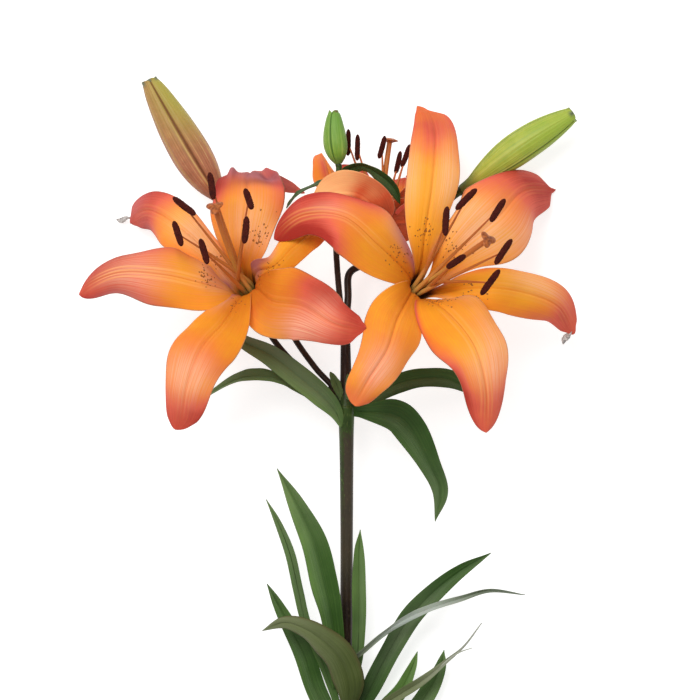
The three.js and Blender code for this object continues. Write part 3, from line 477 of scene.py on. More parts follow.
# A thin strand that splits off the withered leaf
STRAND = [(57, -120.5, 18), (62, -116.5, 18.3), (67, -113.4, 18), (73, -111.4, 17.5)]
STRAND_RADII = (0.5, 0.4, 0.2)

# The camera looks straight down from its place. It is this far from the plane where it sees this width, in mm
CAMERA_PLACE = (11, 40, 2050)
CAMERA_DISTANCE = 2000
CAMERA_VIEW = 350
SENSOR_WIDTH = 36

# The floor and the key light, in metres
FLOOR_REACH = 4.0
KEY_PLACE = (-0.3, 0.6, 1.3)
KEY_AIM = (0, 0.02, 0.04)
KEY_SIZE = 0.7


# Curves and blades


def screen(red, green, blue):
    """A colour as a screen shows it, from 0 to 255, as the linear values that a shader takes."""
    values = [c / 255 for c in (red, green, blue)]
    return tuple(v / 12.92 if v <= 0.04045 else ((v + 0.055) / 1.055) ** 2.4 for v in values)


def unit(vectors):
    return vectors / np.linalg.norm(vectors, axis=-1, keepdims=True)


def smooth(x):
    t = np.clip(x, 0, 1)
    return t * t * (3 - 2 * t)


def bump(x, width):
    return np.exp(-((x / width) ** 2))


def through(points, places):
    """Points of a smooth curve through the given points, at places from 0 to 1."""
    points = np.asarray(points, float)
    ends = np.vstack([2 * points[:1] - points[1:2], points, 2 * points[-1:] - points[-2:-1]])
    spans = len(points) - 1
    scaled = np.clip(np.asarray(places, float), 0, 1) * spans
    index = np.minimum(scaled.astype(int), spans - 1)
    w = (scaled - index)[:, None]
    before, start, end, after = (ends[index + k] for k in range(4))
    a, b = (end - before) / 2, (after - start) / 2
    return start + a * w + (3 * (end - start) - 2 * a - b) * w**2 + (2 * (start - end) + a + b) * w**3


def mirrored(vector, normal):
    size = normal @ normal
    return vector if size < 1e-12 else vector - 2 * (vector @ normal) / size * normal


def frames_along(points, places, facing):
    """Centres, tangents and side vectors along a curve, carried forward without spin."""
    centre = through(points, places)
    tangent = unit(through(points, places + 1e-4) - through(points, places - 1e-4))
    side = np.empty_like(centre)
    side[0] = unit(np.cross(facing, tangent[0]))
    for i in range(1, len(places)):
        step = centre[i] - centre[i - 1]
        tangent_over = mirrored(tangent[i - 1], step)
        side[i] = mirrored(mirrored(side[i - 1], step), tangent[i] - tangent_over)
    return centre, tangent, side


def turned(side, tangent, degrees):
    """Side vectors turned about their tangents, which they are square to."""
    turn = np.radians(degrees)[:, None]
    return side * np.cos(turn) + np.cross(tangent, side) * np.sin(turn)


class Bloom:
    """Where a bloom sits, which way its axis leans across the floor and how far it tilts from upright."""

    def __init__(self, base, lean, tilt):
        lean, tilt = math.radians(lean), math.radians(tilt)
        heading = np.array([math.cos(lean), math.sin(lean), 0])
        up = np.array([0, 0, 1.0])
        self.base = np.array(base, float)
        self.axis = heading * math.sin(tilt) + up * math.cos(tilt)
        self.leaning = heading * math.cos(tilt) - up * math.sin(tilt)
        self.third = np.cross(self.axis, self.leaning)

    def radial(self, angle):
        """The way out from the axis, at an angle round it in degrees."""
        turn = math.radians(angle)
        return self.leaning * math.cos(turn) + self.third * math.sin(turn)


BLOOMS = {
    "right": Bloom((41, 68, 40), lean=35, tilt=35),
    "left": Bloom((-39, 67, 40), lean=121, tilt=35),
    "back": Bloom((28.5, 90, 32), lean=96, tilt=78),
}


class Surface:
    """A thin blade as a grid, rows along its spine and columns from edge to edge, with its thickness."""

    def __init__(self, stations, facing, rows, columns, form):
        self.along = 1 - (1 - np.arange(rows + 1) / rows) ** ROW_CROWDING
        self.across = np.linspace(-1, 1, columns + 1)
        full = np.array([tuple(s) + (0,) * (5 - len(s)) for s in stations], float)
        centre, tangent, side = frames_along(full[:, :3], self.along, facing)
        width, twist = through(full[:, 3:], self.along).T
        closing = np.clip((self.along - form["tip_start"]) / (1 - form["tip_start"]), 0, 1)
        half = width * np.sqrt(1 - closing ** form["roundness"])
        half = half * (1 - form["nib"] * smooth((self.along - NIB_START) / NIB_LENGTH))
        half = np.maximum(half, form["tip_half"])
        side = turned(side, tangent, twist)
        normal = np.cross(tangent, side)
        t = self.along[:, None]
        s = self.across[None, :]
        rise = form["curl"](t) * half[:, None] * s * s + self.ripple(form["wave"], t, s)
        rise = rise + form["relief"](t, s, half[:, None])
        rise = rise + form["sway"] * np.sin(8 * t + 2.5 * s + form["phase"])
        wobble = 1 + form["wobble"] * np.abs(s) ** 3 * np.sin(19 * t + form["phase"] + 2 * s)
        leaning = form["lean"] * (width - half)[:, None]
        sweep = (s * half[:, None] * wobble + leaning)[..., None]
        self.middle = centre[:, None] + side[:, None] * sweep + normal[:, None] * rise[..., None]
        self.half = half
        depth = form["thickness"](t) / 2 * np.sqrt(np.clip(1 - s * s, 0, 1))
        self.normal = unit(np.cross(np.gradient(self.middle, axis=0), np.gradient(self.middle, axis=1)))
        self.upper = self.middle + self.normal * depth[..., None]
        self.lower = self.middle - self.normal * depth[..., None]

    @staticmethod
    def ripple(wave, t, s):
        coarse = wave * np.abs(s) ** 3 * np.sin(EDGE_WAVES * t + 2 * s)
        fine = 0.25 * wave * np.abs(s) ** 6 * np.sin(3.1 * EDGE_WAVES * t + 5 * s)
        return np.sin(math.pi * t) * (coarse + fine)

    def at(self, along, across):
        """A point of the upper face and its normal, at a place along the spine and across the blade."""
        row = np.interp(along, self.along, np.arange(len(self.along)))
        column = (across + 1) / 2 * (len(self.across) - 1)
        i, j = int(row), int(column)
        u, v = row - i, column - j
        cell = self.upper[i:i + 2, j:j + 2]
        near = cell[0, 0] * (1 - v) + cell[0, 1] * v
        far = cell[1, 0] * (1 - v) + cell[1, 1] * v
        point = near * (1 - u) + far * u
        return point, self.normal[i, j], unit(cell[1, 0] - cell[0, 0])


def placed(name, data):
    """A new object in the scene."""
    made = bpy.data.objects.new(name, data)
    bpy.context.scene.collection.objects.link(made)
    return made


def store(mesh, name, values):
    """Stores a value for each vertex, which the materials read."""
    mesh.attributes.new(name, "FLOAT", "POINT").data.foreach_set("value", np.asarray(values, np.float32))


class Shape:
    """Vertices, faces and values for each vertex, gathered before they go into one mesh."""

    def __init__(self):
        self.points = []
        self.faces = []
        self.slots = []
        self.values = {}
        self.count = 0

    def add(self, grid, faces, slot=0, **values):
        """Adds a closed body. A value is one number or an array that fits the grid of points."""
        points = grid.reshape(-1, 3)
        for name, array in values.items():
            flat = np.broadcast_to(array, grid.shape[:-1]).ravel()
            self.values.setdefault(name, []).append((self.count, flat))
        self.faces += [[self.count + k for k in face] for face in outward(points, faces)]
        self.points.append(points)
        self.slots += [slot] * len(faces)
        self.count += len(points)

    def build(self, name, materials):
        mesh = bpy.data.meshes.new(name)
        mesh.from_pydata((np.vstack(self.points) * MM).tolist(), [], self.faces)
        mesh.polygons.foreach_set("use_smooth", [True] * len(self.faces))
        mesh.polygons.foreach_set("material_index", self.slots)
        for key, parts in self.values.items():
            whole = np.zeros(self.count, np.float32)
            for start, flat in parts:
                whole[start:start + len(flat)] = flat
            store(mesh, key, whole)
        for material in materials:
            mesh.materials.append(material)
        mesh.update()
        return placed(name, mesh)


def outward(points, faces):
    """The faces, turned over if they enclose a negative volume."""
    corners = points[np.array([face[:4] for face in faces if len(face) >= 4])] - points.mean(axis=0)
    a, b, c, d = (corners[:, k] for k in range(4))
    volume = np.sum(a * (np.cross(b, c) + np.cross(c, d)))
    return faces if volume > 0 else [face[::-1] for face in faces]


def ring_faces(rows, count):
    """Quads between rings of the same number of points."""
    faces = []
    for i in range(rows - 1):
        for k in range(count):
            after = (k + 1) % count
            faces.append((i * count + k, i * count + after, (i + 1) * count + after, (i + 1) * count + k))
    return faces


def closed_rings(rows, count):
    """Quads between rings, and a face over each end."""
    last = (rows - 1) * count
    return ring_faces(rows, count) + [tuple(range(count))[::-1], tuple(range(last, last + count))]


def blade_faces(rows, columns):
    """Faces of a blade whose rings run over the upper face and back under it, with the two ends closed."""
    count = 2 * columns
    faces = ring_faces(rows, count)
    for first in (0, (rows - 1) * count):
        under = [first] + [first + count - j for j in range(1, columns)] + [first + columns]
        end = []
        for j in range(columns):
            corners = (first + j, first + j + 1, under[j + 1], under[j])
            end.append(tuple(dict.fromkeys(corners)))
        faces += [face[::-1] for face in end] if first == 0 else end
    return faces


def add_blade(shape, surface, **values):
    """Adds a blade, with the place along and across it, and 1 on its underside, for each point."""
    rows, wide = surface.upper.shape[:2]
    inner = slice(wide - 2, 0, -1)
    rings = np.concatenate([surface.upper, surface.lower[:, inner]], axis=1)
    under = np.concatenate([np.zeros(wide), np.ones(wide - 2)])
    under[[0, wide - 1]] = 0.5
    for name, value in values.items():
        whole = np.broadcast_to(value, (rows, wide))
        values[name] = np.concatenate([whole, whole[:, inner]], axis=1)
    values["across"] = np.concatenate([surface.across, surface.across[inner]])
    shape.add(rings, blade_faces(rows, wide - 1), along=surface.along[:, None], under=under, **values)


def add_tube(shape, points, radii, sides, rows, slot=0, outline=None, **values):
    """Adds a closed tube along a curve. outline gives its radius, as a share, at each angle and place."""
    places = np.linspace(0, 1, rows + 1)
    points = np.asarray(points, float)
    first = points[1] - points[0]
    facing = (1, 0, 0) if abs(first[0]) < abs(first[1]) else (0, 1, 0)
    centre, tangent, side = frames_along(points, places, np.array(facing, float))
    other = np.cross(tangent, side)
    turn = np.arange(sides) * 2 * math.pi / sides
    radius = through(np.array(radii, float)[:, None], places)
    if outline:
        radius = radius * outline(turn[None, :], places[:, None])
    circle = side[:, None] * np.cos(turn)[None, :, None] + other[:, None] * np.sin(turn)[None, :, None]
    rings = centre[:, None] + np.broadcast_to(radius, (rows + 1, sides))[..., None] * circle
    shape.add(rings, closed_rings(rows + 1, sides), slot, along=places[:, None], **values)


# Materials


class Finish:
    """Builds one node material, with short calls for the nodes it is made of."""

    def __init__(self, name, roughness=0.5, subsurface=0.0, scatter=(1, 0.4, 0.2), specular=0.35):
        self.material = bpy.data.materials.new(name)
        self.material.use_nodes = True
        self.tree = self.material.node_tree
        self.shader = self.tree.nodes["Principled BSDF"]
        self.feed(self.shader, {
            "Roughness": roughness,
            "Subsurface Weight": subsurface,
            "Subsurface Radius": scatter,
            "Subsurface Scale": 0.0012,
            "Specular IOR Level": specular,
        })

    def feed(self, node, inputs):
        """Links each input to a socket, or sets it to a plain value."""
        for key, value in inputs.items():
            if isinstance(value, bpy.types.NodeSocket):
                self.tree.links.new(value, node.inputs[key])
            else:
                node.inputs[key].default_value = value

    def node(self, kind, inputs=None, **settings):
        made = self.tree.nodes.new(kind)
        for key, value in settings.items():
            setattr(made, key, value)
        self.feed(made, inputs or {})
        return made

    def value(self, name, much=1):
        """A value stored on the mesh for each vertex, made weaker where much is under 1."""
        stored = self.node("ShaderNodeAttribute", attribute_name=name).outputs["Fac"]
        return stored if much == 1 else self.maths("MULTIPLY", stored, much)

    def maths(self, operation, a, b=0.0, c=0.0):
        return self.node("ShaderNodeMath", {0: a, 1: b, 2: c}, operation=operation).outputs[0]

    def stirred(self, base, noise, much):
        """A value pushed up and down by noise."""
        return self.maths("MULTIPLY_ADD", self.maths("SUBTRACT", noise, 0.5), much, base)

    def noise(self, place, scale, detail):
        inputs = {"Vector": place, "Scale": scale, "Detail": detail}
        return self.node("ShaderNodeTexNoise", inputs).outputs["Fac"]

    def lines(self, across, along, detail=3.0):
        """Noise drawn out along a blade: many lines across it and slow change along it."""
        place = self.node("ShaderNodeCombineXYZ", {
            "X": self.value("across", across), "Y": self.value("along", along), "Z": self.value("under"),
        }).outputs[0]
        return self.noise(place, 1.0, detail)

    def cloud(self, scale, detail=3.0):
        """Noise in space, with a scale in cycles to the metre."""
        return self.noise(self.node("ShaderNodeTexCoord").outputs["Object"], scale, detail)

    def ramp(self, factor, *stops):
        """A colour ramp through (place, colour) stops."""
        made = self.node("ShaderNodeValToRGB", {"Fac": factor})
        elements = made.color_ramp.elements
        while len(elements) < len(stops):
            elements.new(0.5)
        for element, (place, colour) in zip(elements, stops):
            element.position = place
            element.color = (*colour, 1)
        return made.outputs["Color"]

    def between(self, factor, low, high):
        """Maps a factor between two limits to 0 and 1, smoothly."""
        settings = {"Value": factor, "From Min": low, "From Max": high}
        return self.node("ShaderNodeMapRange", settings, interpolation_type="SMOOTHSTEP").outputs["Result"]

    def spread(self, factor, low, high):
        """Maps a factor from 0 to 1 to the stretch between two values."""
        settings = {"Value": factor, "To Min": low, "To Max": high}
        return self.node("ShaderNodeMapRange", settings).outputs["Result"]

    def solid(self, colour):
        """A socket as it is, and a plain colour with its alpha."""
        return colour if isinstance(colour, bpy.types.NodeSocket) else (*colour, 1)

    def mix(self, factor, a, b, blend="MIX"):
        inputs = {"Factor": factor, "A": self.solid(a), "B": self.solid(b)}
        return self.node("ShaderNodeMix", inputs, data_type="RGBA", blend_type=blend).outputs["Result"]

    def darkened(self, colour, by):
        return self.mix(1.0, colour, by, "MULTIPLY")

    def laid(self, colour, name, much, top):
        """A colour with another over it, as strong as a stored value says."""
        return self.mix(self.value(name, much), colour, top)

    def finish(self, colour, heights=(), roughness=None):
        """Joins a colour, a chain of (height, strength, distance) bumps and a roughness to the shader."""
        inputs = {"Base Color": self.solid(colour)}
        for height, strength, distance in heights:
            bumped = {"Height": height, "Strength": strength, "Distance": distance}
            if "Normal" in inputs:
                bumped["Normal"] = inputs["Normal"]
            inputs["Normal"] = self.node("ShaderNodeBump", bumped).outputs["Normal"]
        if roughness is not None:
            inputs["Roughness"] = roughness
        self.feed(self.shader, inputs)
        return self.material


def petal_finish(colours):
    """Petal skin: gold, then orange, then coral as the flush rises, veined along its length, with painted
    shade and painted highlight laid over it.
    """
    skin = Finish("petal skin", subsurface=0.08, specular=0.06)
    veins, fine, patches = skin.lines(26, 1.6), skin.lines(95, 4), skin.cloud(75)
    flush = skin.stirred(skin.value("flush"), veins, 0.32)
    flush = skin.stirred(skin.stirred(flush, patches, 0.32), fine, 0.12)
    upper = skin.ramp(
        flush, (0.0, colours.gold), (0.24, colours.orange), (0.66, colours.coral), (1.0, colours.deep_coral)
    )
    # Painted shade: darkens the colour towards the throat and in the shade patches, where the tepal would lie
    # in shadow
    upper = skin.laid(upper, "shade", 0.75, skin.darkened(upper, (0.66, 0.5, 0.42)))
    upper = skin.laid(upper, "pale", 0.8, colours.streak)
    veined = skin.maths("MULTIPLY_ADD", skin.between(veins, 0.3, 0.7), 0.6, 0.2)
    # Painted highlight: pinkish white over the swells, partly a paler tint of the tepal
    upper = skin.mix(skin.maths("MULTIPLY", skin.value("blanched"), veined), upper, colours.blanched)
    upper = skin.laid(upper, "groove", 0.55, colours.groove)
    outer = skin.ramp(
        flush, (0.0, colours.outer_orange), (0.45, colours.outer_rose), (1.0, colours.outer_mauve)
    )
    colour = skin.laid(upper, "under", 1, outer)
    colour = skin.laid(colour, "mauve", 0.85, colours.mauve)
    # Deeper painted shade, laid over the outer face and the mauve as well
    colour = skin.laid(colour, "dusk", 1, skin.darkened(colour, (0.46, 0.36, 0.34)))
    foot = skin.ramp(skin.value("throat"), (0.2, colours.throat), (0.9, colours.foot))
    colour = skin.mix(skin.between(skin.value("throat"), 0.0, 0.7), colour, foot)
    rim = skin.between(skin.maths("ABSOLUTE", skin.value("across")), 0.965, 1.0)
    colour = skin.mix(skin.maths("MULTIPLY", rim, 0.35), colour, colours.blanched)
    colour = skin.darkened(colour, skin.ramp(fine, (0.25, (0.92, 0.91, 0.9)), (0.65, (1, 1, 1))))
    return skin.finish(colour, [(veins, 0.24, 0.0006), (fine, 0.18, 0.0003)], skin.spread(fine, 0.4, 0.58))


def freckle_finish(colours):
    return Finish("freckles", roughness=0.45).finish(colours.freckle)


def dried_finish():
    dried = Finish("dried tips", roughness=0.8)
    colour = dried.ramp(dried.cloud(900), (0.3, screen(126, 118, 116)), (0.7, screen(224, 216, 210)))
    return dried.finish(colour, [(dried.cloud(1500), 0.6, 0.0004)])


def leaf_finish(name, roughness, dark, middle, light, underside, dust, sheen, edge=None):
    """Leaf skin with parallel veins, a waxy bloom that partly stands in for sheen, a painted sheen highlight,
    and tones that follow values stored on the leaf.
    """
    skin = Finish(name, roughness=roughness, subsurface=0.03, scatter=(0.4, 1, 0.2), specular=0.14)
    veins, fine, patches = skin.lines(30, 1.5, 2.0), skin.lines(120, 6), skin.cloud(45)
    tone = skin.maths("MULTIPLY_ADD", veins, 0.55, skin.value("tone", 0.7))
    tone = skin.maths("ADD", skin.maths("MULTIPLY", patches, 0.35), skin.maths("SUBTRACT", tone, 0.3))
    colour = skin.ramp(tone, (0.1, dark), (0.45, middle), (0.95, light))
    rib = skin.between(skin.maths("ABSOLUTE", skin.value("across")), 0.07, 0.01)
    colour = skin.mix(skin.maths("MULTIPLY", rib, 0.3), colour, middle)
    # Painted highlight: the sheen colour laid along the half that faces the light
    lit = skin.maths("MULTIPLY", skin.value("sheen"), skin.between(fine, 0.3, 0.75))
    colour = skin.mix(skin.maths("MULTIPLY", lit, 0.45), colour, sheen)
    # Grey wax, which also serves as painted sheen
    colour = skin.laid(colour, "dust", 0.75, dust)
    colour = skin.laid(colour, "under", 0.8, underside)
    if edge:
        margin = skin.between(skin.maths("ABSOLUTE", skin.value("across")), 0.7, 1.0)
        colour = skin.mix(margin, colour, edge)
    bumps = [(veins, 0.4, 0.0005), (fine, 0.25, 0.0002)]
    return skin.finish(colour, bumps, skin.spread(fine, roughness - 0.08, roughness + 0.14))


# Skins of the leaves that aren't plain green: name, roughness, then dark, middle, light, underside, dust,
# which is partly painted sheen, the painted sheen highlight and, on the bronze leaf, its edge
GREEN_LEAF_ROUGHNESS = 0.42
LEAF_SKINS = {
    "bronze_front": (
        "bronze leaf skin", 0.42, (36, 44, 18), (72, 84, 36), (114, 122, 76), (104, 92, 54), (134, 140, 116),
        (122, 134, 92), (82, 80, 44),
    ),
    "dry_right": (
        "dry leaf skin", 0.5, (72, 84, 58), (118, 128, 104), (172, 182, 170), (128, 130, 104),
        (182, 188, 184), (196, 204, 200),
    ),
    "withered_right": (
        "withered leaf skin", 0.6, (78, 86, 50), (112, 120, 82), (152, 160, 132), (100, 100, 74),
        (186, 186, 180), (160, 166, 140),
    ),
    "whorl_bracts": (
        "whorl bract skin", 0.42, (44, 62, 26), (74, 98, 46), (120, 142, 76), (92, 112, 62), (120, 134, 104),
        (140, 156, 124),
    ),
}


def own_leaf_finish(place):
    name, roughness, *tones = LEAF_SKINS[place]
    return leaf_finish(name, roughness, *(screen(*tone) for tone in tones))


def stem_finish():
    """Stem skin: green at the whorl, brown below it and darker above, with fine speckles along it."""
    skin = Finish("stem skin", roughness=0.42, specular=0.25)
    place = skin.node("ShaderNodeTexCoord").outputs["Object"]
    drawn = skin.node("ShaderNodeMapping", {"Vector": place, "Scale": (1, 0.35, 1)}).outputs[0]
    speck, broad = skin.noise(drawn, 1400, 2), skin.cloud(90)
    speckled = skin.between(speck, 0.5, 0.85)
    brown = skin.ramp(broad, (0.3, screen(28, 15, 13)), (0.7, screen(50, 32, 22)))
    brown = skin.mix(speckled, brown, screen(68, 54, 36))
    brown = skin.laid(brown, "tan", 0.4, screen(80, 76, 58))
    green = skin.ramp(broad, (0.3, screen(26, 40, 10)), (0.7, screen(54, 78, 26)))
    green = skin.mix(speckled, green, screen(80, 98, 46))
    mottled = skin.stirred(skin.value("green"), speck, 0.9)
    colour = skin.mix(skin.between(mottled, 0.25, 0.75), brown, green)
    colour = skin.laid(colour, "cut", 1, screen(150, 158, 96))
    return skin.finish(colour, [(speck, 0.3, 0.0003), (broad, 0.3, 0.0008)])


def stamen_finish():
    """Filaments and style: green gold at the foot, golden above, redder towards the anthers and stigma."""
    skin = Finish("stamens and style", roughness=0.42, subsurface=0.1, specular=0.25)
    noise = skin.cloud(700)
    colour = skin.ramp(
        skin.stirred(skin.value("height"), noise, 0.25),
        (0.0, screen(172, 146, 70)), (0.22, screen(202, 162, 80)),
        (0.5, screen(194, 124, 62)), (1.0, screen(176, 88, 44)),
    )
    stigma = skin.ramp(noise, (0.35, screen(112, 54, 26)), (0.65, screen(180, 100, 46)))
    return skin.finish(skin.laid(colour, "stigma", 1, stigma), [(noise, 0.25, 0.0003)])


def anther_finish():
    """Ripe pollen: dark maroon with a dull velvet grain."""
    pollen = Finish("pollen", roughness=0.9, specular=0.1)
    grain, broad = pollen.cloud(2600, 2), pollen.cloud(500)
    colour = pollen.ramp(grain, (0.3, screen(40, 12, 10)), (0.75, screen(92, 34, 24)))
    colour = pollen.mix(pollen.between(broad, 0.45, 0.7), colour, screen(56, 18, 16))
    return pollen.finish(colour, [(grain, 0.8, 0.0004)])


# Each bud's skin: name, belly, flank, rib, seam, tip, foot and point
BUD_SKINS = {
    "left": (
        "blush bud skin", (176, 112, 80), (136, 84, 56), (206, 172, 104), (112, 66, 38), (164, 152, 62),
        (142, 84, 56), (96, 106, 84),
    ),
    "middle": (
        "small bud skin", (122, 158, 58), (88, 132, 40), (156, 178, 84), (64, 98, 34), (104, 148, 50),
        (96, 126, 56), (104, 80, 50),
    ),
    "right": (
        "green bud skin", (168, 174, 64), (124, 148, 44), (194, 192, 96), (106, 128, 44), (152, 176, 58),
        (84, 104, 40), (84, 96, 66),
    ),
}


def bud_finish(side):
    """Bud skin: ribs along each outer tepal, dark seams where they meet, and other tones at both ends."""
    name, *tones = BUD_SKINS[side]
    belly, flank, rib, seam, tip, foot, point = (screen(*tone) for tone in tones)
    skin = Finish(name, roughness=0.45, subsurface=0.05)
    streaks, fine, mottle = skin.lines(16, 1.5), skin.lines(70, 5), skin.cloud(180)
    tone = skin.maths("MULTIPLY_ADD", streaks, 0.75, skin.maths("MULTIPLY", mottle, 0.35))
    colour = skin.ramp(tone, (0.35, flank), (0.62, belly), (0.8, rib))
    colour = skin.laid(colour, "rib", 0.8, rib)
    greener = skin.maths("MULTIPLY", skin.value("tipped"), skin.value("greener"))
    tipped = skin.maths("MULTIPLY_ADD", greener, 0.9, skin.value("tipped", 0.25))
    colour = skin.mix(tipped, colour, tip)
    for value, top in (("foot", foot), ("seam", seam), ("point", point)):
        colour = skin.laid(colour, value, 1, top)
    return skin.finish(colour, [(streaks, 0.35, 0.0006), (fine, 0.3, 0.0003)])


# Pieces


def finish_piece(piece, node):
    """Says what the piece rides on and hides the node that it stands for."""
    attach(piece, "root")
    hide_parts(node)


def petal_relief(t, s, half):
    """A tepal's groove and the ridges beside it, the swell of each half, and the fine ribs of its veins."""
    fade = smooth((t - 0.08) / 0.12) * (1 - smooth((t - 0.75) / 0.25))
    aside = np.abs(s) * half
    groove = -0.4 * bump(aside, 0.6) + 0.22 * bump(aside - 1.7, 0.7)
    swell = 0.07 * half * np.sin(math.pi * np.abs(s))
    ribs = 0.06 * np.cos(2 * math.pi * 8 * np.abs(s) ** 0.9) * (1 - np.abs(s))
    return fade * (groove + swell + ribs)


def patched(patches, t, s):
    """The sum of soft patches over a blade."""
    return sum(
        (
            much * bump(t - place, long) * bump(s - across, wide)
            for place, across, long, wide, much in patches
        ),
        np.zeros_like(t * s),
    )


def tepal_surface(bloom, tepal, settings):
    """A tepal's blade, from its seat on the receptacle through the throat and along its spine."""
    radial = bloom.radial(tepal["angle"])
    root = radial * TEPAL_RING_RADIUS + bloom.axis * SEAT_GAP
    throat = radial * THROAT_RADIUS + bloom.axis * THROAT_HEIGHT
    stations = [(*root, TEPAL_BASE_HALF), (*throat, tepal["half"]), *tepal["spine"]]
    throat_curl, limb_curl = tepal["curl"]
    roundness, nib, lean = tepal["tip"]
    surface = Surface(stations, -radial, settings.rows, settings.columns, {
        "tip_start": TEPAL_TIP_START,
        "tip_half": 0.3,
        "roundness": roundness,
        "nib": nib,
        "lean": lean,
        "curl": lambda t: throat_curl + (limb_curl - throat_curl) * smooth((t - 0.15) / 0.4),
        "wave": tepal["wave"],
        "relief": lambda t, s, half: petal_relief(t, s, half) + patched(tepal["swells"], t, s),
        "wobble": 0.02 + 0.035 * tepal["wave"],
        "sway": 0.35,
        "phase": tepal["angle"] / 17,
        "thickness": lambda t: settings.thickness * (1.25 - 0.7 * t),
    })
    for grid in (surface.middle, surface.upper, surface.lower):
        grid += bloom.base
    return surface


def colouring(surface, tepal):
    """A tepal's flush, light lines, groove, green foot and soft patches, some of them painted shade and
    painted highlight, at each point.
    """
    t = surface.along[:, None]
    s = surface.across[None, :]
    soft = {name: patched(tepal[name], t, s) for name in ("patches", "blanched", "mauve", "shade", "dusk")}
    start, end, much = tepal["tipped"]
    flush = tepal["flush"] + much * smooth((t - start) / (end - start))
    much, start = tepal["edged"]
    flush = flush + much * np.abs(s) ** 4 * smooth((t - start) / 0.25) + soft["patches"]
    aside = np.abs(s) * surface.half[:, None]
    lines = bump(aside - 0.9, 0.35) + 0.7 * bump(aside - 2.6, 0.5)
    stretch = smooth((t - 0.3) / 0.15) * (1 - smooth((t - 0.8) / 0.2))
    groove = tepal["groove"] * bump(aside, 0.4) * smooth((t - 0.1) / 0.1)
    return {
        "flush": np.clip(flush, 0, 1.1),
        "pale": np.clip(tepal["pale"] * lines * stretch, 0, 1),
        "groove": groove * (1 - smooth((t - 0.85) / 0.15)),
        # Pinkish white, partly a paler tint and partly painted highlight
        "blanched": np.clip(1.5 * soft["blanched"], 0, 0.9),
        "mauve": np.clip(soft["mauve"], 0, 1),
        # Painted shade: strong up to the throat and gone a little beyond it, plus the shade patches; negative
        # patches take it away
        "shade": np.clip(0.8 * (1 - smooth((t - 0.2) / 0.17)) + soft["shade"], 0, 1),
        # Deeper painted shade
        "dusk": np.clip(soft["dusk"], 0, 1),
        "throat": tepal["throat"] * (1 - smooth((t - 0.07) / 0.16)),
    }


def add_freckles(shape, surface, number, along, across, long, wide, draw):
    """Small raised dark spots around a place of a tepal, each a low dome sunk into it."""
    turn = np.arange(FRECKLE_SIDES) * 2 * math.pi / FRECKLE_SIDES
    for _ in range(number):
        t = np.clip(along + long * draw.normal(0, 0.8), 0.12, 0.6)
        s = np.clip(across + wide * draw.normal(0, 0.8), -0.85, 0.85)
        size = draw.uniform(*FRECKLE_SIZES)
        point, normal, forward = surface.at(t, s)
        side = np.cross(normal, forward)
        rings = []
        for share, height in FRECKLE_RINGS:
            out = size * share * (forward * 1.4 * np.cos(turn)[:, None] + side * np.sin(turn)[:, None])
            rings.append(point + out + normal * height)
        shape.add(np.vstack(rings), closed_rings(len(rings), FRECKLE_SIDES), 1)


def add_dried_tip(shape, path, halves):
    """A shrivelled strip beyond a tepal's tip."""

    def shrivelled(turn, place):
        return 1 + 0.45 * np.cos(2 * turn + 5 * place) + 0.12 * np.sin(5 * turn + 30 * place)

    add_tube(shape, path, halves, DRIED_TIP_SIDES, DRIED_ROWS, slot=2, outline=shrivelled)


def make_tepals(settings):
    """Every tepal with its freckles and, on two of them, the dried tip."""
    skins = [petal_finish(settings), freckle_finish(settings), dried_finish()]
    draw = np.random.default_rng(SEED)
    for name, own in TEPALS.items():
        side, place = name.split("_", 1)
        bloom, tepal = BLOOMS[side], {**PLAIN_TEPAL, **own}
        surface = tepal_surface(bloom, tepal, settings)
        shape = Shape()
        add_blade(shape, surface, **colouring(surface, tepal))
        add_freckles(shape, surface, *tepal["freckles"], draw)
        if "dried" in tepal:
            add_dried_tip(shape, np.array(tepal["dried"]) + bloom.base, tepal["dried_halves"])
        piece = shape.build(f"{side}_tepal_{place}", skins)
        finish_piece(piece, f"{side}_bloom_tepal_{place}")


def filament_path(bloom, ends, angle):
    """From the foot of the ovary up beside it, and on to the back of the anther."""
    top, bottom = (np.array(end, float) for end in ends)
    radial = bloom.radial(angle)
    middle = (top + bottom) / 2
    neck = radial * 3 + bloom.axis * 12
    end = middle - unit(middle - neck) * ANTHER_CLEARANCE
    bend = (neck + end) / 2 + bloom.axis * FILAMENT_BOW
    return np.array([radial * 1.9 + bloom.axis * 1.5, neck, bend, end])


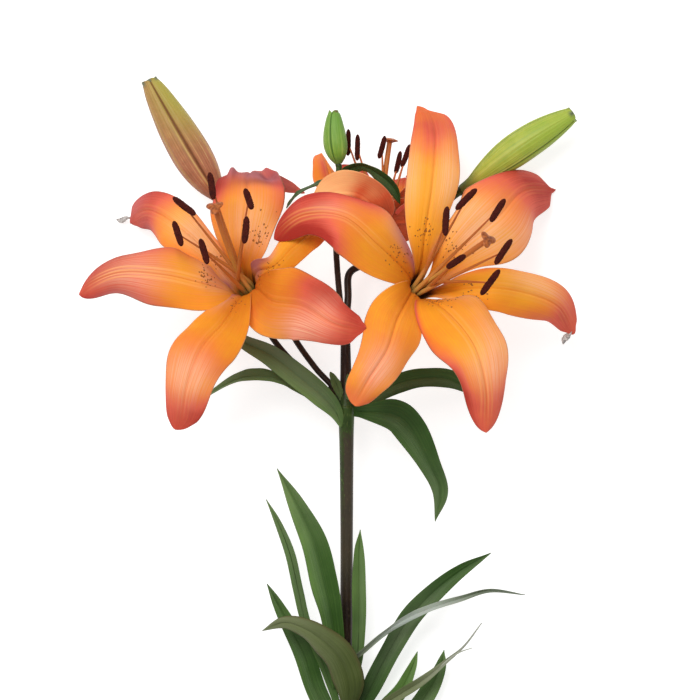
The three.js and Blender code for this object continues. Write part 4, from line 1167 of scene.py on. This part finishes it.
def make_pistils(settings):
    """Each bloom's disc, ovary, style, stigma and filaments, in one piece."""
    skin = stamen_finish()
    for side, bloom in BLOOMS.items():
        first, stigma, anthers = STAMENS[side]
        base, axis = bloom.base, bloom.axis
        shape = Shape()
        disc = np.array([axis * SEAT_GAP, axis * 1.6, axis * (SEAT_GAP + 2.5)]) + base
        add_tube(shape, disc, (3.1, 3.1, 2.5), 32, 8, height=0, stigma=0)
        neck = axis * OVARY_LENGTH
        add_tube(
            shape, np.array([axis, axis * 6, axis * 12, neck]) + base, (1.4, 1.75, 1.6, 0.9), OVARY_SIDES,
            OVARY_ROWS, outline=lambda turn, place: 1 + 0.12 * np.abs(np.cos(3 * turn)),
            height=0.12, stigma=0,
        )
        end = np.array(stigma, float)
        bend = (neck + end) / 2 + axis * FILAMENT_BOW
        style = np.array([neck * 0.93, bend, end]) + base
        heights = np.linspace(0.2, 0.9, TUBE_ROWS + 1)[:, None]
        radii = (0.85, settings.style_radius, settings.style_radius)
        add_tube(shape, style, radii, STYLE_SIDES, TUBE_ROWS, height=heights, stigma=0)
        add_stigma(shape, end + base, unit(end - bend))
        heights = np.linspace(0, 1, TUBE_ROWS + 1)[:, None]
        radii = np.array([1.9, 1.7, 1.05, 0.5]) * settings.filament_radius
        for k, ends in enumerate(anthers):
            path = filament_path(bloom, ends, 60 * k + first) + base
            add_tube(shape, path, radii, FILAMENT_SIDES, TUBE_ROWS, height=heights, stigma=0)
        piece = shape.build(f"{side}_pistil_and_filaments", [skin])
        finish_piece(piece, f"{side}_bloom_pistil_and_filaments")


def add_stigma(shape, foot, way):
    """The three lobed head of the style, flared and rounded over on top."""
    path = np.array([foot - way * 1.5, foot, foot + way * 1.2, foot + way * 2.2])
    add_tube(
        shape, path, (0.9, 1.5, STIGMA_RADIUS, 1.5), STIGMA_SIDES, STIGMA_ROWS,
        outline=lambda turn, place: 1 + 0.3 * smooth(place * 1.6) * np.cos(3 * turn),
        height=0.9, stigma=np.linspace(0.2, 1, STIGMA_ROWS + 1)[:, None],
    )


def make_anthers(settings):
    """Each anther is a plump pod of two lobes with a groove between them, dusted with grain."""
    pollen = anther_finish()
    draw = np.random.default_rng(SEED + 1)
    length = np.array([-0.52, -0.3, 0, 0.3, 0.52])[:, None]
    places = np.linspace(0, 1, ANTHER_ROWS + 1)[:, None]
    pod = np.maximum((1 - np.abs(2 * places - 1) ** 3.2) ** 0.5, 0.12)
    for side, bloom in BLOOMS.items():
        radius = settings.anther_radius * (BACK_ANTHER_SHARE if side == "back" else 1)
        for number, ends in enumerate(STAMENS[side][2], 1):
            top, bottom = (np.array(end, float) + bloom.base for end in ends)
            bend = bloom.axis * -0.6 * (1 - 8 * length**2) * 0.5
            path = (top + bottom) / 2 + length * (top - bottom) + bend
            grained = pod * (1 + 0.05 * draw.standard_normal((ANTHER_ROWS + 1, ANTHER_SIDES)))
            shape = Shape()
            add_tube(
                shape, path, [radius] * len(path), ANTHER_SIDES, ANTHER_ROWS,
                outline=lambda turn, place: grained * (1 - 0.16 * np.abs(np.cos(turn)) ** 6),
            )
            piece = shape.build(f"{side}_anther_{number}", [pollen])
            finish_piece(piece, f"{side}_bloom_anther_{number}")


def make_buds():
    for side, bud in BUDS.items():
        shape = Shape()
        add_bud(shape, bud)
        piece = shape.build(f"bud_{side}", [bud_finish(side)])
        finish_piece(piece, f"{side}_bud")


def add_bud(shape, bud):
    """A closed bud: three outer tepals edge to edge, each with its midrib, and their tips a little apart."""
    start, end = np.array(bud["start"], float), np.array(bud["end"], float)
    way = unit(end - start)
    right = unit(np.cross((0, 0, 1.0), way))
    over = np.cross(way, right)
    turn = np.arange(BUD_SIDES) * 2 * math.pi / BUD_SIDES
    third = (np.degrees(turn) - bud["turn"] + 60) / 120
    number = np.floor(third) % 3
    u = 2 * (third % 1) - 1
    places = np.concatenate([np.linspace(0, 1, BUD_ROWS + 1), np.ones(BUD_MOUTH_ROWS)])[:, None]
    mouth = np.arange(1, BUD_MOUTH_ROWS + 1) / BUD_MOUTH_ROWS
    inward = np.concatenate([np.zeros(BUD_ROWS + 1), mouth])[:, None]
    share = through(np.array(bud["shape"])[:, None], np.minimum(places[:, 0], 0.985))
    seam = bump(np.abs(u) - 1, 0.07)
    rib = bump(u, 0.1)
    form = 0.97 + 0.06 * (1 - u * u) - 0.1 * seam + 0.02 * rib + 0.025 * bump(np.abs(u) - 0.88, 0.05)
    ribs = 0.008 * np.cos(2 * math.pi * 4.5 * u)
    r = bud["radius"] * share * (form + ribs) * (1 - 0.75 * inward)
    longer = np.array([0.5, -0.4, 0.2])[number.astype(int)]
    parting = 1.6 * (1 - np.abs(u) ** 2.5) - 1.6 + longer
    lift = smooth((places - 0.93) / 0.07) * parting - 2.5 * smooth(inward)
    bow = bud["bow"] * np.sin(math.pi * places)[..., None] * right
    circle = right * np.cos(turn)[None, :, None] + over * np.sin(turn)[None, :, None]
    centre = start + (end - start) * places
    shape.add(
        centre[:, None] + bow + r[..., None] * circle + way * lift[..., None],
        closed_rings(len(places), BUD_SIDES),
        along=places,
        across=u * 0.8 + 2.3 * number,
        under=0,
        seam=np.clip(seam * smooth(places / 0.12) + inward * 0.8, 0, 1),
        rib=0.5 * rib + bump(u - 0.84, 0.045) * (1 - smooth((places - 0.5) / 0.3)),
        tipped=smooth((places - 0.25) / 0.6),
        foot=1 - smooth(places / 0.2),
        greener=0.5 - 0.5 * np.cos(turn),
        point=smooth((places - 0.955) / 0.03) * bump(u, 0.35),
    )


def leaf_relief(t, s, half):
    """The fold along a leaf's middle and its parallel veins."""
    fade = smooth(t / 0.1) * (1 - smooth((t - 0.85) / 0.15))
    return fade * (-0.45 * bump(s, 0.12) + 0.05 * half * np.sin(math.pi * np.abs(s)) + 0.05 * np.cos(38 * s))


def leaf_surface(curl, spine, settings):
    return Surface(spine, np.array([0, 0, 1.0]), settings.rows, settings.columns, {
        "tip_start": LEAF_TIP_START,
        "tip_half": 0.15,
        "roundness": 2.2,
        "nib": 0,
        "lean": 0,
        "curl": lambda t: curl,
        "wave": LEAF_CURL_WAVE,
        "relief": leaf_relief,
        "wobble": 0.03,
        "sway": 0.15,
        "phase": spine[-1][0] / 9,
        "thickness": lambda t: settings.thickness * (1.2 - 0.6 * t),
    })


def make_leaves(settings):
    """Every leaf, with its tones, its dust, which is partly painted sheen, and the painted light on its one
    half stored along it.
    """
    green = leaf_finish(
        "leaf skin", GREEN_LEAF_ROUGHNESS, settings.dark, settings.green, settings.light, settings.underside,
        settings.dust, settings.sheen,
    )
    for place, leaf in LEAVES.items():
        spine = leaf["spine"]
        surface = leaf_surface(leaf["curl"], spine, settings)
        t = surface.along[:, None]
        s = surface.across[None, :]
        side = 1 if spine[-1][0] < spine[0][0] else -1
        places = np.linspace(0, 1, len(leaf["tones"]))
        # One half lighter: partly the leaf's own tint, partly painted light
        tone = np.interp(t, places, leaf["tones"]) + leaf["half_tint_and_painted_light"] * smooth((s * side + 0.2) / 1.1)
        # Grey wax along the leaf, partly painted sheen
        dust = np.interp(t, places, leaf["dusts_and_sheens"]) * (0.75 + 0.25 * np.sin(3 * s + 5 * t))
        # Painted highlight along the half that faces the light
        lit = bump(s - 0.45 * side, 0.35) * smooth((t - 0.15) / 0.3) * (1 - 0.5 * t)
        shape = Shape()
        add_blade(shape, surface, tone=tone, dust=dust, sheen=lit)
        if place == "withered_right":
            add_tube(
                shape, STRAND, STRAND_RADII, STRAND_SIDES, DRIED_ROWS,
                tone=0.9, dust=0.6, across=0.6, sheen=0, under=0,
            )
        piece = shape.build(f"{place}_leaf", [own_leaf_finish(place) if place in LEAF_SKINS else green])
        finish_piece(piece, f"leaf_{place}")


def make_stem(settings):
    """The stem, its pedicels and receptacles, grown together by remeshing, with its green parts marked."""
    shape = Shape()
    for stretch, rows in ((MAIN_STEM, 120), (UPPER_STEM, 40)):
        table = np.array(stretch, float)
        add_tube(shape, table[:, :3], table[:, 3], STEM_SIDES, rows)
    for side, bloom in BLOOMS.items():
        base, axis = bloom.base, bloom.axis
        pedicel = PEDICELS[f"{side}_bloom"]
        path = np.array([*pedicel["path"], base - axis * 3])
        add_tube(shape, path, [pedicel["radius"]] * len(path), PEDICEL_SIDES, 60)
        add_tube(
            shape, np.array([base - axis * 6, base - axis * 2.5, base]), RECEPTACLE_RADII, 36, 16,
            outline=lambda turn, place: 1 + 0.06 * np.cos(6 * turn) * place,
        )
    for side, bud in BUDS.items():
        start, end = np.array(bud["start"], float), np.array(bud["end"], float)
        pedicel = PEDICELS[f"{side}_bud"]
        path = np.array([*pedicel["path"], start - unit(end - start) * 3, start])
        radii = [pedicel["radius"]] * (len(path) - 1) + [bud["radius"] * bud["shape"][0]]
        add_tube(shape, path, radii, PEDICEL_SIDES, 70)
    piece = shape.build("stem_and_pedicels", [stem_finish()])
    grow_together(piece, settings.detail)
    colour_stem(piece.data)
    finish_piece(piece, "stem")


def make_whorl_bracts(settings):
    """The stem's own small bracts at the whorl."""
    shape = Shape()
    for spine in WHORL_BRACTS:
        add_blade(shape, leaf_surface(0.3, spine, settings), tone=0.6, dust=0.3, sheen=0)
    finish_piece(shape.build("whorl_bracts", [own_leaf_finish("whorl_bracts")]), "stem")


def grow_together(piece, cell):
    """Makes the piece one skin with its joins rounded, and applies the modifiers that do it."""
    remesh = piece.modifiers.new("grow together", "REMESH")
    remesh.mode = "VOXEL"
    remesh.voxel_size = cell * MM
    relax = piece.modifiers.new("round the joins", "SMOOTH")
    relax.factor = 0.5
    relax.iterations = 6
    bpy.context.view_layer.update()
    mesh = bpy.data.meshes.new_from_object(piece.evaluated_get(bpy.context.evaluated_depsgraph_get()))
    piece.modifiers.clear()
    piece.data = mesh
    mesh.polygons.foreach_set("use_smooth", [True] * len(mesh.polygons))


def colour_stem(mesh):
    """Marks where the stem is green, where it is tan and where its cut end is."""
    places = np.zeros(len(mesh.vertices) * 3)
    mesh.vertices.foreach_get("co", places)
    places = places.reshape(-1, 3) / MM
    green = np.zeros(len(places))
    for centre, reach in GREEN_SPOTS:
        green = np.maximum(green, np.exp(-((np.linalg.norm(places - centre, axis=1) / reach) ** 2)))
    x, y, z = places.T
    flank = smooth((9.6 - x) / 2.5) * smooth((y + 78) / 60) * (1 - smooth((y - 5) / 6)) * (z > 8)
    store(mesh, "green", np.maximum(green, 0.62 * flank))
    store(mesh, "cut", smooth((CUT_PLACE - y) / 0.3))
    store(mesh, "tan", smooth((8 - y) / 12) * smooth((y + 95) / 30))


# Floor, light and camera


def make_stage(settings):
    finish = Finish("floor", roughness=0.8, specular=0.1)
    finish.feed(finish.shader, {"Emission Color": (1, 1, 1, 1), "Emission Strength": settings.floor_glow})
    mesh = bpy.data.meshes.new("floor")
    corners = [(x * FLOOR_REACH, y * FLOOR_REACH, 0) for x, y in ((-1, -1), (1, -1), (1, 1), (-1, 1))]
    mesh.from_pydata(corners, [], [(0, 1, 2, 3)])
    mesh.materials.append(finish.finish(settings.floor_colour))
    placed("floor", mesh)
    add_key_light(settings.key_power)
    world = bpy.data.worlds.new("soft room")
    world.use_nodes = True
    background = world.node_tree.nodes["Background"]
    background.inputs["Color"].default_value = (1, 1, 1, 1)
    background.inputs["Strength"].default_value = settings.room_light
    bpy.context.scene.world = world
    bpy.context.scene.view_settings.view_transform = "Standard"
    add_camera()


def add_key_light(power):
    light = bpy.data.lights.new("key", "AREA")
    light.energy = power
    light.size = KEY_SIZE
    lamp = placed("key", light)
    lamp.location = KEY_PLACE
    lamp.rotation_euler = (Vector(KEY_AIM) - lamp.location).to_track_quat("-Z", "Y").to_euler()


def add_camera():
    camera = bpy.data.cameras.new("camera")
    camera.sensor_width = SENSOR_WIDTH
    camera.lens = SENSOR_WIDTH * CAMERA_DISTANCE / CAMERA_VIEW
    camera.clip_end = 20
    eye = placed("camera", camera)
    eye.location = [c * MM for c in CAMERA_PLACE]
    bpy.context.scene.camera = eye


# Settings, operators and the panel


def colour(name, description, value):
    return FloatVectorProperty(
        name=name, description=description, default=screen(*value), subtype="COLOR", size=3, min=0, max=1
    )


class LilyPetals(bpy.types.PropertyGroup):
    rows: IntProperty(name="Rows", description="Steps along a tepal", default=96, min=12)
    columns: IntProperty(name="Columns", description="Steps across a tepal", default=52, min=6)
    thickness: FloatProperty(name="Thickness", description="Thickness of a tepal in mm", default=0.8, min=0.2)
    gold: colour("Gold", "The tepal's yellow below the flush", (246, 162, 42))
    orange: colour("Orange", "The tepal's orange", (240, 138, 52))
    coral: colour("Coral", "The tepal's coral flush", (224, 98, 76))
    deep_coral: colour("Deep coral", "The deepest flush at edges and tips", (178, 56, 46))
    streak: colour("Streak", "The light lines beside the midrib", (252, 184, 100))
    # Pinkish white, partly a paler tint and partly painted highlight, also used for the pale rim
    blanched: colour("Blanched", "The pinkish white bloom of a tepal's swell", (250, 196, 160))
    mauve: colour("Mauve", "The rims that show their outer side", (188, 120, 128))
    groove: colour("Groove", "The darker line along the midrib", (206, 110, 40))
    throat: colour("Throat", "The brown above a tepal's foot", (160, 86, 34))
    foot: colour("Foot", "The dark foot of a tepal", (88, 50, 24))
    outer_orange: colour("Outer orange", "The outer face where it is least flushed", (252, 186, 124))
    outer_rose: colour("Outer rose", "The outer face where it is flushed", (222, 100, 60))
    outer_mauve: colour("Outer mauve", "The outer face where it is deepest", (144, 66, 40))
    freckle: colour("Freckle", "The dark spots in the throat", (150, 84, 30))


class LilyStamens(bpy.types.PropertyGroup):
    filament_radius: FloatProperty(name="Filament radius", description="In mm", default=0.72, min=0.1)
    style_radius: FloatProperty(name="Style radius", description="In mm", default=1.3, min=0.1)
    anther_radius: FloatProperty(name="Anther radius", description="In mm", default=1.65, min=0.5)


class LilyLeaves(bpy.types.PropertyGroup):
    rows: IntProperty(name="Rows", description="Steps along a leaf", default=90, min=10)
    columns: IntProperty(name="Columns", description="Steps across a leaf", default=30, min=4)
    thickness: FloatProperty(name="Thickness", description="Thickness of a leaf in mm", default=0.7, min=0.2)
    dark: colour("Dark", "The darkest green of a leaf", (20, 42, 12))
    green: colour("Green", "The middle green of a leaf", (50, 80, 30))
    light: colour("Light", "The light green of veins and young leaves", (112, 146, 72))
    underside: colour("Underside", "The paler underside", (84, 112, 52))
    # The colour of the painted highlight on the leaves
    sheen: colour("Sheen", "The light that the upper face gives back", (136, 158, 122))
    # Grey wax, also used as painted sheen
    dust: colour("Dust", "The grey wax on the upper face", (122, 130, 104))


class LilyStem(bpy.types.PropertyGroup):
    detail: FloatProperty(name="Detail", description="Cell of the stem's skin in mm", default=0.45, min=0.2)


class LilyStage(bpy.types.PropertyGroup):
    key_power: FloatProperty(name="Key light", description="In watts", default=15.5, min=0)
    room_light: FloatProperty(
        name="Room light", description="Strength of the light all round", default=0.5, min=0
    )
    floor_glow: FloatProperty(name="Floor glow", description="Light that the floor gives", default=0.7, min=0)
    floor_colour: colour("Floor", "The pale floor", (196, 196, 196))


class LILY_OT_stage(bpy.types.Operator):
    """Lay the pale floor, hang the key light and set the camera"""

    bl_idname = "lily.stage"
    bl_label = "Stage"

    def execute(self, context):
        make_stage(context.scene.lily_stage)
        return {"FINISHED"}


class LILY_OT_tepals(bpy.types.Operator):
    """Make the tepals of the three blooms"""

    bl_idname = "lily.tepals"
    bl_label = "Tepals"

    def execute(self, context):
        make_tepals(context.scene.lily_petals)
        return {"FINISHED"}


class LILY_OT_pistils(bpy.types.Operator):
    """Make each bloom's style and filaments"""

    bl_idname = "lily.pistils"
    bl_label = "Pistils and Filaments"

    def execute(self, context):
        make_pistils(context.scene.lily_stamens)
        return {"FINISHED"}


class LILY_OT_anthers(bpy.types.Operator):
    """Make the anthers of the three blooms"""

    bl_idname = "lily.anthers"
    bl_label = "Anthers"

    def execute(self, context):
        make_anthers(context.scene.lily_stamens)
        return {"FINISHED"}


class LILY_OT_buds(bpy.types.Operator):
    """Make the three buds"""

    bl_idname = "lily.buds"
    bl_label = "Buds"

    def execute(self, context):
        make_buds()
        return {"FINISHED"}


class LILY_OT_leaves(bpy.types.Operator):
    """Make the leaves of the whorl and of the tuft"""

    bl_idname = "lily.leaves"
    bl_label = "Leaves"

    def execute(self, context):
        make_leaves(context.scene.lily_leaves)
        return {"FINISHED"}


class LILY_OT_stem(bpy.types.Operator):
    """Make the stem with its pedicels, receptacles and bracts"""

    bl_idname = "lily.stem"
    bl_label = "Stem"

    def execute(self, context):
        make_stem(context.scene.lily_stem)
        make_whorl_bracts(context.scene.lily_leaves)
        return {"FINISHED"}


OPERATORS = (
    LILY_OT_stage, LILY_OT_tepals, LILY_OT_pistils, LILY_OT_anthers, LILY_OT_buds, LILY_OT_leaves,
    LILY_OT_stem,
)


class LILY_PT_panel(bpy.types.Panel):
    """Lists the steps that make the lily"""

    bl_idname = "LILY_PT_panel"
    bl_label = "Lily"
    bl_space_type = "VIEW_3D"
    bl_region_type = "UI"
    bl_category = "Lily"

    def draw(self, context):
        for operator in OPERATORS:
            self.layout.operator(operator.bl_idname)


GROUPS = {
    "lily_petals": LilyPetals,
    "lily_stamens": LilyStamens,
    "lily_leaves": LilyLeaves,
    "lily_stem": LilyStem,
    "lily_stage": LilyStage,
}
CLASSES = (*GROUPS.values(), *OPERATORS, LILY_PT_panel)


def register():
    for one in CLASSES:
        bpy.utils.register_class(one)
    for name, group in GROUPS.items():
        setattr(bpy.types.Scene, name, PointerProperty(type=group))


def unregister():
    for name in GROUPS:
        delattr(bpy.types.Scene, name)
    for one in reversed(CLASSES):
        bpy.utils.unregister_class(one)


def main():
    register()
    bpy.ops.lily.stage()
    bpy.ops.lily.tepals()
    bpy.ops.lily.pistils()
    bpy.ops.lily.anthers()
    bpy.ops.lily.buds()
    bpy.ops.lily.leaves()
    bpy.ops.lily.stem()


if __name__ == "__main__":
    main()
